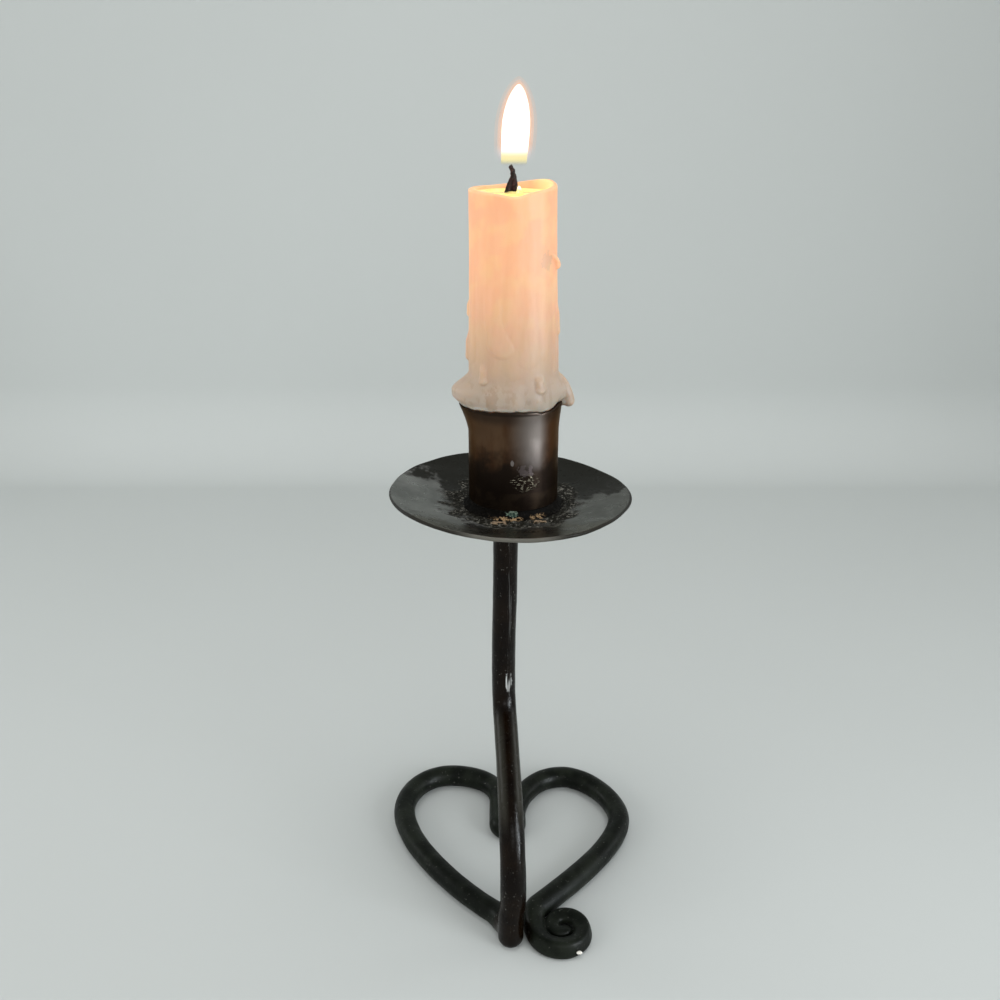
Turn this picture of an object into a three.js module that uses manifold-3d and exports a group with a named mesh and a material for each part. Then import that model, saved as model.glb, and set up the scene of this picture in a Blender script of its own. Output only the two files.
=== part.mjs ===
// Taper candle holder: one forged round bar makes a scroll, a heart that lies on the table and an S-shaped
// stem. The stem carries a hammered drip pan, and a cup on the pan holds a lit dinner candle.
// Millimetres, +Z up, +X to the right and +Y to the back. The pieces are made with the heart's mid-line at
// x = 0 and the stem's top at y = 0. At the end the origin moves to the middle of the footprint.

import * as THREE from 'three';
import { mergeVertices } from 'three/addons/utils/BufferGeometryUtils.js';
import Module from 'manifold-3d';

const wasm = await Module();
wasm.setup();

const degrees = THREE.MathUtils.degToRad;
const { lerp, smoothstep } = THREE.MathUtils;

// Clearance between pieces that touch on the real object
const SEAT_GAP = 0.3;

// Sides of the small round forms
const SMALL_SEGMENTS = 24;

// Round bar: its diameter along the heart, up the stem, where the stem leaves the table and in the flank
// that the stem bends into, which is drawn out thinner
const HEART_BAR_DIAMETER = 7.9;
const STEM_BAR_DIAMETER = 7.9;
const FOOT_BAR_DIAMETER = 8.3;
const LEFT_FLANK_DIAMETER = 7.3;
const UNDERSIDE_FLAT = 0.4;
const BAR_SIDES = 16;
const BEND_STEP = degrees(10);

// Heart seen from above. Each side has its widest point, its lobe's top, the end of its flank near the
// heart's point with the direction that it comes from, and how far each curve runs straight.
const LEFT_LOBE = {
  outX: -40.3, outY: 19, topX: -23.5, topY: 38.8, flankX: -6.6, flankY: -33.2, flankAngle: degrees(141),
  flankPull: 17, pointPull: 19.5, outPull: 11, topPull: 9.5, inPull: 12.5,
};
const RIGHT_LOBE = {
  outX: 39.9, outY: 14, topX: 20, topY: 38, flankX: 8.5, flankY: -31.1, flankAngle: degrees(44),
  flankPull: 13.5, pointPull: 20, outPull: 10.5, topPull: 9.5, inPull: 11.5,
};

// Cleft of the heart: a hairpin whose two legs are pressed together
const CLEFT_X = -0.7;
const CLEFT_Y = 10.3;
const CLEFT_RADIUS = 2.8;
const LEFT_LEG_TOP = 22;
const RIGHT_LEG_TOP = 14;
const LEG_PULL = 10;

// Stem: it bends up at the heart's point, leans back over a ramp and straightens under the pan
const FOOT_X = -0.8;
const FOOT_Y = -42.9;
const FOOT_BEND = 5.5;
const HEEL_ROUND = 3;
const KNEE_X = -0.1;
const STEM_TOP_X = -2.5;
const LOWER_BEND_START = 18;
const LOWER_BEND_RADIUS = 34;
const UPPER_BEND_RADIUS = 12;
const RAMP_ANGLE = degrees(60);

// Scroll at the free end of the bar, where the bar is drawn out thinner and hammered nearly square. A
// section of 2 is round, and a higher one is squarer.
const SCROLL_X = 15.7;
const SCROLL_Y = -39.5;
const SCROLL_RADIUS = 8.7;
const SCROLL_END_RADIUS = 1.8;
const SCROLL_START = degrees(193);
const SCROLL_SWEEP = degrees(482);
const SCROLL_BAR_WIDTH = 6;
const SCROLL_TIP_WIDTH = 3.4;
const SCROLL_LEAD = 4;
const ROUND_SECTION = 2;
const SCROLL_SECTION = 3.4;

// Drip pan: a flat middle that carries the cup, and a dished brim that is a little uneven from hammering
const PAN_X = -1.2;
const PAN_DIAMETER = 75;
const PAN_FLOOR = 135.3;
const PAN_DISH = 4.4;
const PAN_DISH_CURVE = 1.4;
const PAN_SHEET = 1.3;
const PAN_EDGE_ROUND = 0.4;
const PAN_LEAN = 1;
const PAN_WAVES = { count: 3, depth: 0.4, phase: 1 };
const PAN_SEGMENTS = 64;
const PAN_RINGS = 6;

// Tenon on the stem's top, headed over on the pan inside the cup
const TENON_DIAMETER = 5;
const TENON_HEAD_DIAMETER = 9;
const TENON_HEAD_HEIGHT = 1.6;
const TENON_ROOT = 2;

// Candle cup, with its lip flared most at the left, and the braze round its foot
const CUP_X = -0.2;
const CUP_DIAMETER = 27.4;
const CUP_WALL = 1.3;
const CUP_HEIGHT = 32.6;
const FLARE = 0.9;
const FLARE_HEIGHT = 7;
const FLARE_HUMP = { angle: Math.PI, rise: 2.1, spread: degrees(50) };
const CUP_SEGMENTS = 48;
const BRAZE_WIDTH = 1.9;
const BRAZE_HEIGHT = 2.6;

// Candle: its play in the cup, the wax that thickens it, the collar over the lip and the uneven rim
const CANDLE_PLAY = 0.35;
const CANDLE_LENGTH = 92.1;
const CANDLE_TOP_X = -0.75;
const CANDLE_SEGMENTS = 48;
const CANDLE_RINGS = 13;
const WAX_AT_TOP = 0.35;
const WAX_AT_FOOT = 1.5;
const WAX_RUNS = [{ count: 5, depth: 0.35, phase: 0.6 }, { count: 9, depth: 0.25, phase: -1.1 }];
const COLLAR_HEIGHT = 9.2;
const COLLAR_OUT = 0.9;
const COLLAR_LEVEL = 0.35;
const COLLAR_UNDERCUT = 1;
const RING_CROWDING = 1.6;
const COLLAR_HUMPS = [
  { angle: Math.PI, rise: 4.2, spread: degrees(34) },
  { angle: degrees(-6), rise: 2.4, spread: degrees(15) },
];
const RIM_ROUND = 0.7;
const RIM_INNER_DROP = 0.2;
const RIM_HUMPS = [
  { angle: degrees(50), rise: 1.8, spread: degrees(45) },
  { angle: degrees(-88), rise: -0.9, spread: degrees(38) },
];

// The drip that ran over the lip at the right and hangs beside the cup
const DRIP_ANGLE = degrees(-6);
const DRIP_DIAMETER = 3.2;
const DRIP_RISE = 8;
const DRIP_HANG = 0.9;
const DRIP_CLEARANCE = 0.5;

// Pool of liquid wax in the top of the candle
const POOL_RADIUS = 10.6;
const POOL_SLOPE = 1.2;
const POOL_DEPTH = 2.6;
const POOL_FILL = 1.1;

// Wick and flame
const WICK_DIAMETER = 2.6;
const WICK_TIP_DIAMETER = 1.6;
const WICK_HEIGHT = 7.2;
const WICK_BURIED = 12;
const WICK_BOW = 0.6;
const FLAME_HEIGHT = 20.5;
const FLAME_WIDTH = 8.4;
const FLAME_LEAN = 0.9;
const FLAME_RIGHT = 0.4;

// Block that cuts the underside of the bar flat
const CUTTER_SIDE = 400;
const CUTTER_HEIGHT = 40;

const materials = {
  forged_steel: { color: 0x1d2423, roughness: 0.42, metalness: 0.85 },
  pan_steel: { color: 0x2a2b2b, roughness: 0.4, metalness: 0.9 },
  cup_steel: { color: 0x3a2f28, roughness: 0.38, metalness: 0.9 },
  braze: { color: 0x6b5a3c, roughness: 0.5, metalness: 0.8 },
  wax: { color: 0xf0c7a2, roughness: 0.45, metalness: 0 },
  liquid_wax: { color: 0xffd98a, roughness: 0.08, metalness: 0 },
  charred_wick: { color: 0x1c0f0c, roughness: 0.95, metalness: 0 },
  flame: { color: 0xfff1c2, roughness: 1, metalness: 0 },
};

// Geometry helpers

const point = (x, y, z) => new THREE.Vector3(x, y, z);

// A smooth rise round one angle, which fades out over its spread on each side
function hump({ angle, rise, spread }, at) {
  const turn = Math.atan2(Math.sin(at - angle), Math.cos(at - angle));
  return rise * Math.exp(-((turn / spread) ** 2));
}

const waves = ({ count, depth, phase }, at) => depth * Math.cos(count * at + phase);

// A value at each of so many even steps, from 0 to 1 inclusive
const evenly = (steps, make) => Array.from({ length: steps + 1 }, (_, i) => make(i / steps));

function solidFrom(geometry) {
  geometry.deleteAttribute('normal');
  geometry.deleteAttribute('uv');
  const merged = mergeVertices(geometry, 1e-5);
  return new wasm.Manifold(new wasm.Mesh({
    numProp: 3,
    vertProperties: new Float32Array(merged.attributes.position.array),
    triVerts: new Uint32Array(merged.index.array),
  }));
}

function geometryFrom(solid) {
  const mesh = solid.getMesh();
  const geometry = new THREE.BufferGeometry();
  geometry.setAttribute('position', new THREE.BufferAttribute(mesh.vertProperties, 3));
  geometry.setIndex(new THREE.BufferAttribute(mesh.triVerts, 1));
  geometry.computeVertexNormals();
  return geometry;
}

// Joins rings of equally many points into a closed skin, with a cap on the first and on the last ring
function loft(rings) {
  const sides = rings[0].length;
  const middle = (ring) => ring.reduce((sum, p) => sum.add(p), point(0, 0, 0)).divideScalar(sides);
  const vertices = [...rings.flat(), middle(rings[0]), middle(rings.at(-1))];
  const firstMiddle = vertices.length - 2;
  const lastMiddle = vertices.length - 1;
  const lastRing = (rings.length - 1) * sides;
  const triangles = [];
  for (let side = 0; side < sides; side += 1) {
    const next = (side + 1) % sides;
    triangles.push(firstMiddle, next, side);
    triangles.push(lastMiddle, lastRing + side, lastRing + next);
    for (let row = 0; row < lastRing; row += sides) {
      triangles.push(row + side, row + next, row + sides + side);
      triangles.push(row + next, row + sides + next, row + sides + side);
    }
  }
  const geometry = new THREE.BufferGeometry().setFromPoints(vertices);
  geometry.setIndex(triangles);
  return geometry;
}

// Stations along a chain of curves, closer together where it bends. Each link of the chain has a curve, and
// the bar's radius and section at its start and at its end.
function stationsAlong(chain) {
  const stations = [];
  for (const { curve, radii, sections = [ROUND_SECTION, ROUND_SECTION] } of chain) {
    const probes = 24;
    let turning = 0;
    for (let i = 0; i < probes; i += 1) {
      turning += curve.getTangent(i / probes).angleTo(curve.getTangent((i + 1) / probes));
    }
    const steps = Math.max(1, Math.ceil(turning / BEND_STEP));
    for (let i = stations.length ? 1 : 0; i <= steps; i += 1) {
      const t = i / steps;
      stations.push({ centre: curve.getPoint(t), radius: lerp(...radii, t), section: lerp(...sections, t) });
    }
  }
  return stations;
}

// Half the width of a bar of unit radius at a cosine or a sine of the angle round its section
const reach = (share, section) => Math.sign(share) * Math.abs(share) ** (ROUND_SECTION / section);

// A bar through its stations, with a half-round tip at each end that asks for one
function bar(stations, roundStart, roundEnd) {
  const last = stations.length - 1;
  const direction = (i) => stations[Math.min(i + 1, last)].centre.clone()
    .sub(stations[Math.max(i - 1, 0)].centre).normalize();
  const across = point(1, 0, 0);
  const rings = [];
  const addRing = (centre, along, radius, section) => {
    across.addScaledVector(along, -across.dot(along)).normalize();
    const up = along.clone().cross(across);
    rings.push(Array.from({ length: BAR_SIDES }, (_, side) => {
      const angle = (side / BAR_SIDES) * 2 * Math.PI;
      return centre.clone()
        .addScaledVector(across, radius * reach(Math.cos(angle), section))
        .addScaledVector(up, radius * reach(Math.sin(angle), section));
    }));
  };
  const addTip = ({ centre, radius, section }, along, latitudes) => {
    for (const latitude of latitudes) {
      const beyond = centre.clone().addScaledVector(along, radius * Math.sin(latitude));
      addRing(beyond, along, radius * Math.cos(latitude), section);
    }
  };
  if (roundStart) addTip(stations[0], direction(0), [degrees(-70), degrees(-35)]);
  stations.forEach(({ centre, radius, section }, i) => addRing(centre, direction(i), radius, section));
  if (roundEnd) addTip(stations[last], direction(last), [degrees(35), degrees(70)]);
  return solidFrom(loft(rings));
}

function turned(profile, segments, x = 0, y = 0, z = 0) {
  const geometry = new THREE.LatheGeometry(profile.map(([r, h]) => new THREE.Vector2(r, h)), segments);
  geometry.rotateX(Math.PI / 2);
  geometry.translate(x, y, z);
  return geometry;
}

const turnedSolid = (...args) => solidFrom(turned(...args));

// Curves of the forged bar

const barHeight = HEART_BAR_DIAMETER / 2 - UNDERSIDE_FLAT;
const onTable = (x, y) => point(x, y, barHeight);

// A round bend: it leaves its start along heading and turns towards side
class Bend extends THREE.Curve {
  constructor(start, heading, side, radius, angle) {
    super();
    Object.assign(this, { start, heading, side, radius, angle });
  }

  getPoint(t, target = new THREE.Vector3()) {
    const turn = this.angle * t;
    return target.copy(this.start)
      .addScaledVector(this.heading, this.radius * Math.sin(turn))
      .addScaledVector(this.side, this.radius * (1 - Math.cos(turn)));
  }
}

// The scroll from its tip outwards: a round turn that tightens into a small eye, in a bar that tapers evenly
const scrollBarRadius = (t) => lerp(SCROLL_TIP_WIDTH, SCROLL_BAR_WIDTH, t) / 2;

class Scroll extends THREE.Curve {
  getPoint(t, target = new THREE.Vector3()) {
    const angle = SCROLL_START + SCROLL_SWEEP * (1 - t);
    const radius = lerp(SCROLL_END_RADIUS, SCROLL_RADIUS, smoothstep(t, 0, 1));
    return target.set(
      SCROLL_X + radius * Math.cos(angle),
      SCROLL_Y + radius * Math.sin(angle),
      scrollBarRadius(t) - UNDERSIDE_FLAT,
    );
  }
}

function pulled(start, startPull, endPull, end) {
  return new THREE.CubicBezierCurve3(start, startPull, endPull, end);
}

const flankEnd = (lobe) => onTable(lobe.flankX, lobe.flankY);

// A point further up the flank's straight line, or beyond its end where the distance is negative
const alongFlank = (lobe, distance) => onTable(
  lobe.flankX + distance * Math.cos(lobe.flankAngle),
  lobe.flankY + distance * Math.sin(lobe.flankAngle),
);

// One side of the heart, from the end of its flank over its lobe to the bottom of its leg in the cleft
function heartSide(lobe, legX, legTop) {
  const widest = onTable(lobe.outX, lobe.outY);
  const top = onTable(lobe.topX, lobe.topY);
  const inwards = -Math.sign(lobe.outX);
  const legStart = onTable(legX, legTop);
  return [
    pulled(
      flankEnd(lobe),
      alongFlank(lobe, lobe.pointPull),
      onTable(lobe.outX, lobe.outY - lobe.flankPull),
      widest,
    ),
    pulled(
      widest,
      onTable(lobe.outX, lobe.outY + lobe.outPull),
      onTable(lobe.topX - inwards * lobe.topPull, lobe.topY),
      top,
    ),
    pulled(
      top,
      onTable(lobe.topX + inwards * lobe.inPull, lobe.topY),
      onTable(legX, legTop + LEG_PULL),
      legStart,
    ),
    new THREE.LineCurve3(legStart, onTable(legX, CLEFT_Y)),
  ];
}

// The stem from its shoulder under the pan down to the table, in the upright plane of its two bends
const stemShoulder = PAN_FLOOR - PAN_SHEET - SEAT_GAP;

function stemCurves() {
  const down = point(0, 0, -1);
  const run = Math.hypot(STEM_TOP_X - KNEE_X, FOOT_Y);
  const forwards = point((KNEE_X - STEM_TOP_X) / run, FOOT_Y / run, 0);
  const sine = Math.sin(RAMP_ANGLE);
  const cosine = Math.cos(RAMP_ANGLE);
  const bends = UPPER_BEND_RADIUS + LOWER_BEND_RADIUS;
  const rampLength = (run - bends * (1 - cosine)) / sine;
  const upperBendTop = LOWER_BEND_START + bends * sine + rampLength * cosine;
  const rampHeading = point(0, 0, 0).addScaledVector(down, cosine).addScaledVector(forwards, sine);
  const rampSide = point(0, 0, 0).addScaledVector(down, sine).addScaledVector(forwards, -cosine);

  const upperStart = point(STEM_TOP_X, 0, upperBendTop);
  const upper = new Bend(upperStart, down, forwards, UPPER_BEND_RADIUS, RAMP_ANGLE);
  const rampStart = upper.getPoint(1);
  const rampEnd = rampStart.clone().addScaledVector(rampHeading, rampLength);
  const lower = new Bend(rampEnd, rampHeading, rampSide, LOWER_BEND_RADIUS, RAMP_ANGLE);
  return [
    new THREE.LineCurve3(point(STEM_TOP_X, 0, stemShoulder), upperStart),
    upper,
    new THREE.LineCurve3(rampStart, rampEnd),
    lower,
    footing(),
    footBend(),
  ];
}

// The lowest stretch of the stem drifts a little to the left on its way down
function footing() {
  const heelTop = barHeight + FOOT_BEND;
  const halfWay = (LOWER_BEND_START + heelTop) / 2;
  return pulled(
    point(KNEE_X, FOOT_Y, LOWER_BEND_START),
    point(KNEE_X, FOOT_Y, halfWay),
    point(FOOT_X, FOOT_Y, halfWay),
    point(FOOT_X, FOOT_Y, heelTop),
  );
}

// The tight bend from the upright stem into the left flank of the heart
function footBend() {
  return pulled(
    point(FOOT_X, FOOT_Y, barHeight + FOOT_BEND),
    point(FOOT_X, FOOT_Y, barHeight),
    alongFlank(LEFT_LOBE, -HEART_BAR_DIAMETER / 2),
    flankEnd(LEFT_LOBE),
  );
}

// The heel: the upright bar runs down to the table at the corner of the tight bend, and is rounded there
function heel() {
  const radius = FOOT_BAR_DIAMETER / 2;
  const rounding = evenly(3, (t) => [
    radius - HEEL_ROUND * (1 - Math.sin(t * Math.PI / 2)),
    HEEL_ROUND * (1 - Math.cos(t * Math.PI / 2)),
  ]);
  const top = barHeight + FOOT_BEND;
  return turnedSolid([[0, 0], ...rounding, [radius, top], [0, top]], BAR_SIDES, FOOT_X, FOOT_Y);
}

function forgedBar() {
  const heart = HEART_BAR_DIAMETER / 2;
  const stem = STEM_BAR_DIAMETER / 2;
  const foot = FOOT_BAR_DIAMETER / 2;
  const link = (curve, startRadius, endRadius = startRadius) => ({ curve, radii: [startRadius, endRadius] });
  const heartLinks = (...side) => heartSide(...side).map((curve) => link(curve, heart));

  const [shaft, upperBend, ramp, lowerBend, footStretch, heelBend] = stemCurves();
  const leftFlank = LEFT_FLANK_DIAMETER / 2;
  const [flankLink, ...lobeLinks] = heartLinks(LEFT_LOBE, CLEFT_X - CLEFT_RADIUS, LEFT_LEG_TOP);
  const stemHalf = bar(stationsAlong([
    link(shaft, stem),
    link(upperBend, stem),
    link(ramp, stem),
    link(lowerBend, stem, foot),
    link(footStretch, foot),
    link(heelBend, foot, leftFlank),
    link(flankLink.curve, leftFlank, heart),
    ...lobeLinks,
  ]), false, true);

  const scroll = new Scroll();
  const scrollStart = scroll.getPoint(1);
  const intoFlank = pulled(
    scrollStart,
    scrollStart.clone().addScaledVector(scroll.getTangent(1), SCROLL_LEAD),
    alongFlank(RIGHT_LOBE, -SCROLL_LEAD),
    flankEnd(RIGHT_LOBE),
  );
  const turns = Math.ceil(SCROLL_SWEEP / BEND_STEP);
  const scrollStations = scroll.getPoints(turns).slice(0, turns).map((centre, i) => (
    { centre, radius: scrollBarRadius(i / turns), section: SCROLL_SECTION }
  ));
  const scrollHalf = bar([
    ...scrollStations,
    ...stationsAlong([
      { ...link(intoFlank, scrollBarRadius(1), heart), sections: [SCROLL_SECTION, ROUND_SECTION] },
      ...heartLinks(RIGHT_LOBE, CLEFT_X + CLEFT_RADIUS, RIGHT_LEG_TOP),
    ]),
  ], true, true);

  return stemHalf.add(heel()).add(scrollHalf).add(hairpin()).add(tenon()).subtract(belowTable());
}

// The closed bend of the cleft: the bar's section turned round the hairpin's axis, dimpled in the middle
function hairpin() {
  const section = HEART_BAR_DIAMETER / 2;
  const dimple = Math.acos(Math.max(-1, -CLEFT_RADIUS / section));
  const profile = evenly(8, (t) => {
    const angle = lerp(-dimple, dimple, t);
    return [CLEFT_RADIUS + section * Math.cos(angle), section * Math.sin(angle)];
  });
  return turnedSolid(profile, BAR_SIDES * 2, CLEFT_X, CLEFT_Y, barHeight);
}

function tenon() {
  const headSeat = PAN_FLOOR + SEAT_GAP;
  const radius = TENON_DIAMETER / 2;
  const dome = evenly(3, (t) => [
    (TENON_HEAD_DIAMETER / 2) * Math.cos(t * degrees(68)),
    headSeat + TENON_HEAD_HEIGHT * Math.sin(t * degrees(68)),
  ]);
  return turnedSolid([
    [0, stemShoulder - TENON_ROOT],
    [radius, stemShoulder - TENON_ROOT],
    [radius, headSeat],
    ...dome,
    [0, headSeat + TENON_HEAD_HEIGHT],
  ], SMALL_SEGMENTS, STEM_TOP_X, 0);
}

function belowTable() {
  const block = new THREE.BoxGeometry(CUTTER_SIDE, CUTTER_SIDE, CUTTER_HEIGHT);
  block.translate(0, 0, -CUTTER_HEIGHT / 2);
  return solidFrom(block);
}

// Candle cup

const cupRadius = CUP_DIAMETER / 2;
const cupBore = cupRadius - CUP_WALL;
const cupFoot = PAN_FLOOR + SEAT_GAP;
const cupLip = cupFoot + CUP_HEIGHT;
const brazeBore = cupRadius + SEAT_GAP;
const brazeRadius = brazeBore + BRAZE_WIDTH;

// How far the cup's wall leans out at a height and an angle
function flare(z, angle) {
  const up = smoothstep(z, cupLip - FLARE_HEIGHT, cupLip);
  return up * up * (FLARE + hump(FLARE_HUMP, angle));
}

function candleCup() {
  const flared = evenly(5, (t) => cupLip - FLARE_HEIGHT * (1 - t));
  const heights = [cupFoot, ...flared];
  const profile = [
    ...heights.map((z) => [cupRadius, z]),
    ...heights.toReversed().map((z) => [cupBore, z]),
    [cupRadius, cupFoot],
  ];
  const geometry = turned(profile, CUP_SEGMENTS);
  const { position } = geometry.attributes;
  for (let i = 0; i < position.count; i += 1) {
    const [x, y, z] = [position.getX(i), position.getY(i), position.getZ(i)];
    const angle = Math.atan2(y, x);
    const radius = Math.hypot(x, y) + flare(z, angle);
    position.setXYZ(i, radius * Math.cos(angle), radius * Math.sin(angle), z);
  }
  geometry.translate(CUP_X, 0, 0);
  return solidFrom(geometry);
}

// The bead of braze, hollow like a fillet from the pan up to the cup's wall
function brazeBead() {
  const hollow = evenly(4, (t) => [
    brazeBore + BRAZE_WIDTH * (1 - Math.sin(t * Math.PI / 2)),
    cupFoot + BRAZE_HEIGHT * (1 - Math.cos(t * Math.PI / 2)),
  ]);
  return turnedSolid([[brazeBore, cupFoot], ...hollow, [brazeBore, cupFoot]], CUP_SEGMENTS, CUP_X, 0);
}

// Drip pan

const panRadius = PAN_DIAMETER / 2;
const panFlatRadius = brazeRadius + Math.abs(CUP_X - PAN_X);

// Height of the pan's top face above its floor
function panRise(x, y) {
  const out = Math.max(0, (Math.hypot(x, y) - panFlatRadius) / (panRadius - panFlatRadius));
  const angle = Math.atan2(y, x);
  return PAN_DISH * out ** PAN_DISH_CURVE + (waves(PAN_WAVES, angle) - PAN_LEAN * Math.cos(angle)) * out;
}

function dripPan() {
  const radii = evenly(PAN_RINGS, (t) => lerp(panFlatRadius, panRadius - PAN_EDGE_ROUND, t));
  const profile = [
    [0, -PAN_SHEET],
    ...radii.map((radius) => [radius, -PAN_SHEET]),
    [panRadius, -PAN_SHEET + PAN_EDGE_ROUND],
    [panRadius, -PAN_EDGE_ROUND],
    ...radii.toReversed().map((radius) => [radius, 0]),
    [0, 0],
  ];
  const geometry = turned(profile, PAN_SEGMENTS);
  const { position } = geometry.attributes;
  for (let i = 0; i < position.count; i += 1) {
    const rise = panRise(position.getX(i), position.getY(i));
    position.setZ(i, position.getZ(i) + PAN_FLOOR + rise);
  }
  geometry.translate(PAN_X, 0, 0);
  const holeRadius = TENON_DIAMETER / 2 + SEAT_GAP;
  const hole = new THREE.CylinderGeometry(holeRadius, holeRadius, PAN_SHEET * 3, SMALL_SEGMENTS);
  hole.rotateX(Math.PI / 2);
  hole.translate(STEM_TOP_X, 0, PAN_FLOOR);
  return solidFrom(geometry).subtract(solidFrom(hole));
}

// Candle

const candleRadius = cupBore - CANDLE_PLAY;
const candleFoot = PAN_FLOOR + SEAT_GAP + TENON_HEAD_HEIGHT + SEAT_GAP;
const candleTop = candleFoot + CANDLE_LENGTH;
const collarFoot = cupLip + SEAT_GAP;

// Height of the candle's rim, which has burnt lower at the front and stands highest at the back right
const rimHeight = (angle) => RIM_HUMPS.reduce((height, one) => height + hump(one, angle), candleTop);

// Radius of the candle above the cup: the shaft, the wax that ran down it and the collar over the lip
function waxRadius(z, angle) {
  const down = 1 - (z - collarFoot) / (candleTop - collarFoot);
  const coat = lerp(WAX_AT_TOP, WAX_AT_FOOT, smoothstep(down, 0, 1));
  const runs = WAX_RUNS.reduce((sum, one) => sum + waves(one, angle), 0) * smoothstep(down, 0, 0.5);
  const collar = 1 - smoothstep(z, collarFoot + COLLAR_HEIGHT * COLLAR_LEVEL, collarFoot + COLLAR_HEIGHT);
  const collarOut = COLLAR_HUMPS.reduce((out, one) => out + hump(one, angle), COLLAR_OUT);
  return candleRadius + coat + runs + collar * collarOut;
}

// The candle leans a little to the left above the cup
const leanX = (z) => lerp(CUP_X, CANDLE_TOP_X, Math.max(0, (z - collarFoot) / (candleTop - collarFoot)));

const recessFloor = candleTop - POOL_DEPTH;
const poolFoot = recessFloor + SEAT_GAP;
const poolTop = poolFoot + POOL_FILL;
const boreRadius = WICK_DIAMETER / 2 + SEAT_GAP;

function candle() {
  const around = Array.from({ length: CANDLE_SEGMENTS }, (_, i) => (i / CANDLE_SEGMENTS) * 2 * Math.PI);
  const ring = (radiusAt, heightAt) => around.map((angle) => {
    const z = heightAt(angle);
    const radius = radiusAt(angle);
    return point(leanX(z) + radius * Math.cos(angle), radius * Math.sin(angle), z);
  });
  const sideHeight = (t, angle) => lerp(
    collarFoot + COLLAR_UNDERCUT,
    rimHeight(angle) - RIM_ROUND,
    t ** RING_CROWDING,
  );
  const rings = [
    ring(() => candleRadius, () => candleFoot),
    ring(() => candleRadius, () => collarFoot - SEAT_GAP),
    ring((angle) => waxRadius(collarFoot, angle) - COLLAR_UNDERCUT, () => collarFoot),
    ...evenly(CANDLE_RINGS, (t) => ring(
      (angle) => waxRadius(sideHeight(t, angle), angle),
      (angle) => sideHeight(t, angle),
    )),
    ring((angle) => waxRadius(candleTop, angle) - RIM_ROUND, rimHeight),
    ring(() => POOL_RADIUS, (angle) => rimHeight(angle) - RIM_INNER_DROP),
    ring(() => POOL_RADIUS - POOL_SLOPE, () => recessFloor),
  ];
  const bore = new THREE.CylinderGeometry(boreRadius, boreRadius, WICK_BURIED * 2, SMALL_SEGMENTS);
  bore.rotateX(Math.PI / 2);
  bore.translate(CANDLE_TOP_X, 0, recessFloor);
  return solidFrom(loft(rings)).add(hangingDrip()).subtract(solidFrom(bore));
}

// The drip that ran over the lip and hangs beside the cup
function hangingDrip() {
  const out = (radius, z) => point(
    CUP_X + radius * Math.cos(DRIP_ANGLE),
    radius * Math.sin(DRIP_ANGLE),
    z,
  );
  const radius = DRIP_DIAMETER / 2;
  const lipRadius = cupRadius + FLARE;
  const route = new THREE.CatmullRomCurve3([
    out(candleRadius - radius / 2, cupLip + DRIP_RISE),
    out(candleRadius + radius, cupLip + DRIP_RISE * 0.65),
    out(lipRadius + radius / 2, cupLip + DRIP_RISE * 0.32),
    out(lipRadius + DRIP_CLEARANCE + radius, cupLip - DRIP_HANG),
  ]);
  return bar(stationsAlong([{ curve: route, radii: [radius, radius] }]), false, true);
}

function meltPool() {
  const outer = POOL_RADIUS - POOL_SLOPE - SEAT_GAP;
  return turnedSolid([
    [boreRadius, poolFoot],
    [outer, poolFoot],
    [outer, poolTop],
    [boreRadius, poolTop],
    [boreRadius, poolFoot],
  ], SMALL_SEGMENTS, CANDLE_TOP_X, 0);
}

const wickFoot = recessFloor - WICK_BURIED + SEAT_GAP;
const wickTip = poolTop + WICK_HEIGHT;

// The wick stands straight in its bore, bows to the right above the pool and curls back at its tip
function wick() {
  const radius = WICK_DIAMETER / 2;
  const tipRadius = WICK_TIP_DIAMETER / 2;
  const foot = point(CANDLE_TOP_X, 0, wickFoot);
  const straight = point(CANDLE_TOP_X, 0, poolTop);
  const bowed = new THREE.CatmullRomCurve3([
    straight,
    point(CANDLE_TOP_X + WICK_BOW, 0, lerp(poolTop, wickTip, 0.5)),
    point(CANDLE_TOP_X - WICK_BOW, 0, wickTip - tipRadius),
  ]);
  return bar(stationsAlong([
    { curve: new THREE.LineCurve3(foot, straight), radii: [radius, radius] },
    { curve: bowed, radii: [radius, tipRadius] },
  ]), false, true);
}

// The flame stands over the tip of the wick and leans a little to the right. Its outline gives shares of
// half its width and of its height.
function flame() {
  const outline = [[0, 0], [0.6, 0.04], [1, 0.3], [0.66, 0.74], [0, 1]];
  const curve = new THREE.SplineCurve(outline.map(([across, up]) => (
    new THREE.Vector2(across * FLAME_WIDTH / 2, up * FLAME_HEIGHT)
  )));
  const geometry = turned(curve.getPoints(10).map(({ x, y }) => [x, y]), SMALL_SEGMENTS);
  const { position } = geometry.attributes;
  for (let i = 0; i < position.count; i += 1) {
    position.setX(i, position.getX(i) + FLAME_LEAN * position.getZ(i) / FLAME_HEIGHT);
  }
  geometry.translate(CANDLE_TOP_X + FLAME_RIGHT, 0, wickTip + SEAT_GAP);
  return solidFrom(geometry);
}

// The assembly

const pieces = {
  forged_bar: [forgedBar(), 'forged_steel'],
  drip_pan: [dripPan(), 'pan_steel'],
  candle_cup: [candleCup(), 'cup_steel'],
  braze_bead: [brazeBead(), 'braze'],
  candle: [candle(), 'wax'],
  wick: [wick(), 'charred_wick'],
  melt_pool: [meltPool(), 'liquid_wax'],
  flame: [flame(), 'flame'],
};

const holder = new THREE.Group();
for (const [name, [solid, material]] of Object.entries(pieces)) {
  const mesh = new THREE.Mesh(geometryFrom(solid), new THREE.MeshStandardMaterial(materials[material]));
  mesh.name = name;
  holder.add(mesh);
}

const bounds = new THREE.Box3().setFromObject(holder);
const middle = bounds.getCenter(point(0, 0, 0));
holder.position.set(-middle.x, -middle.y, -bounds.min.z);

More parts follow.
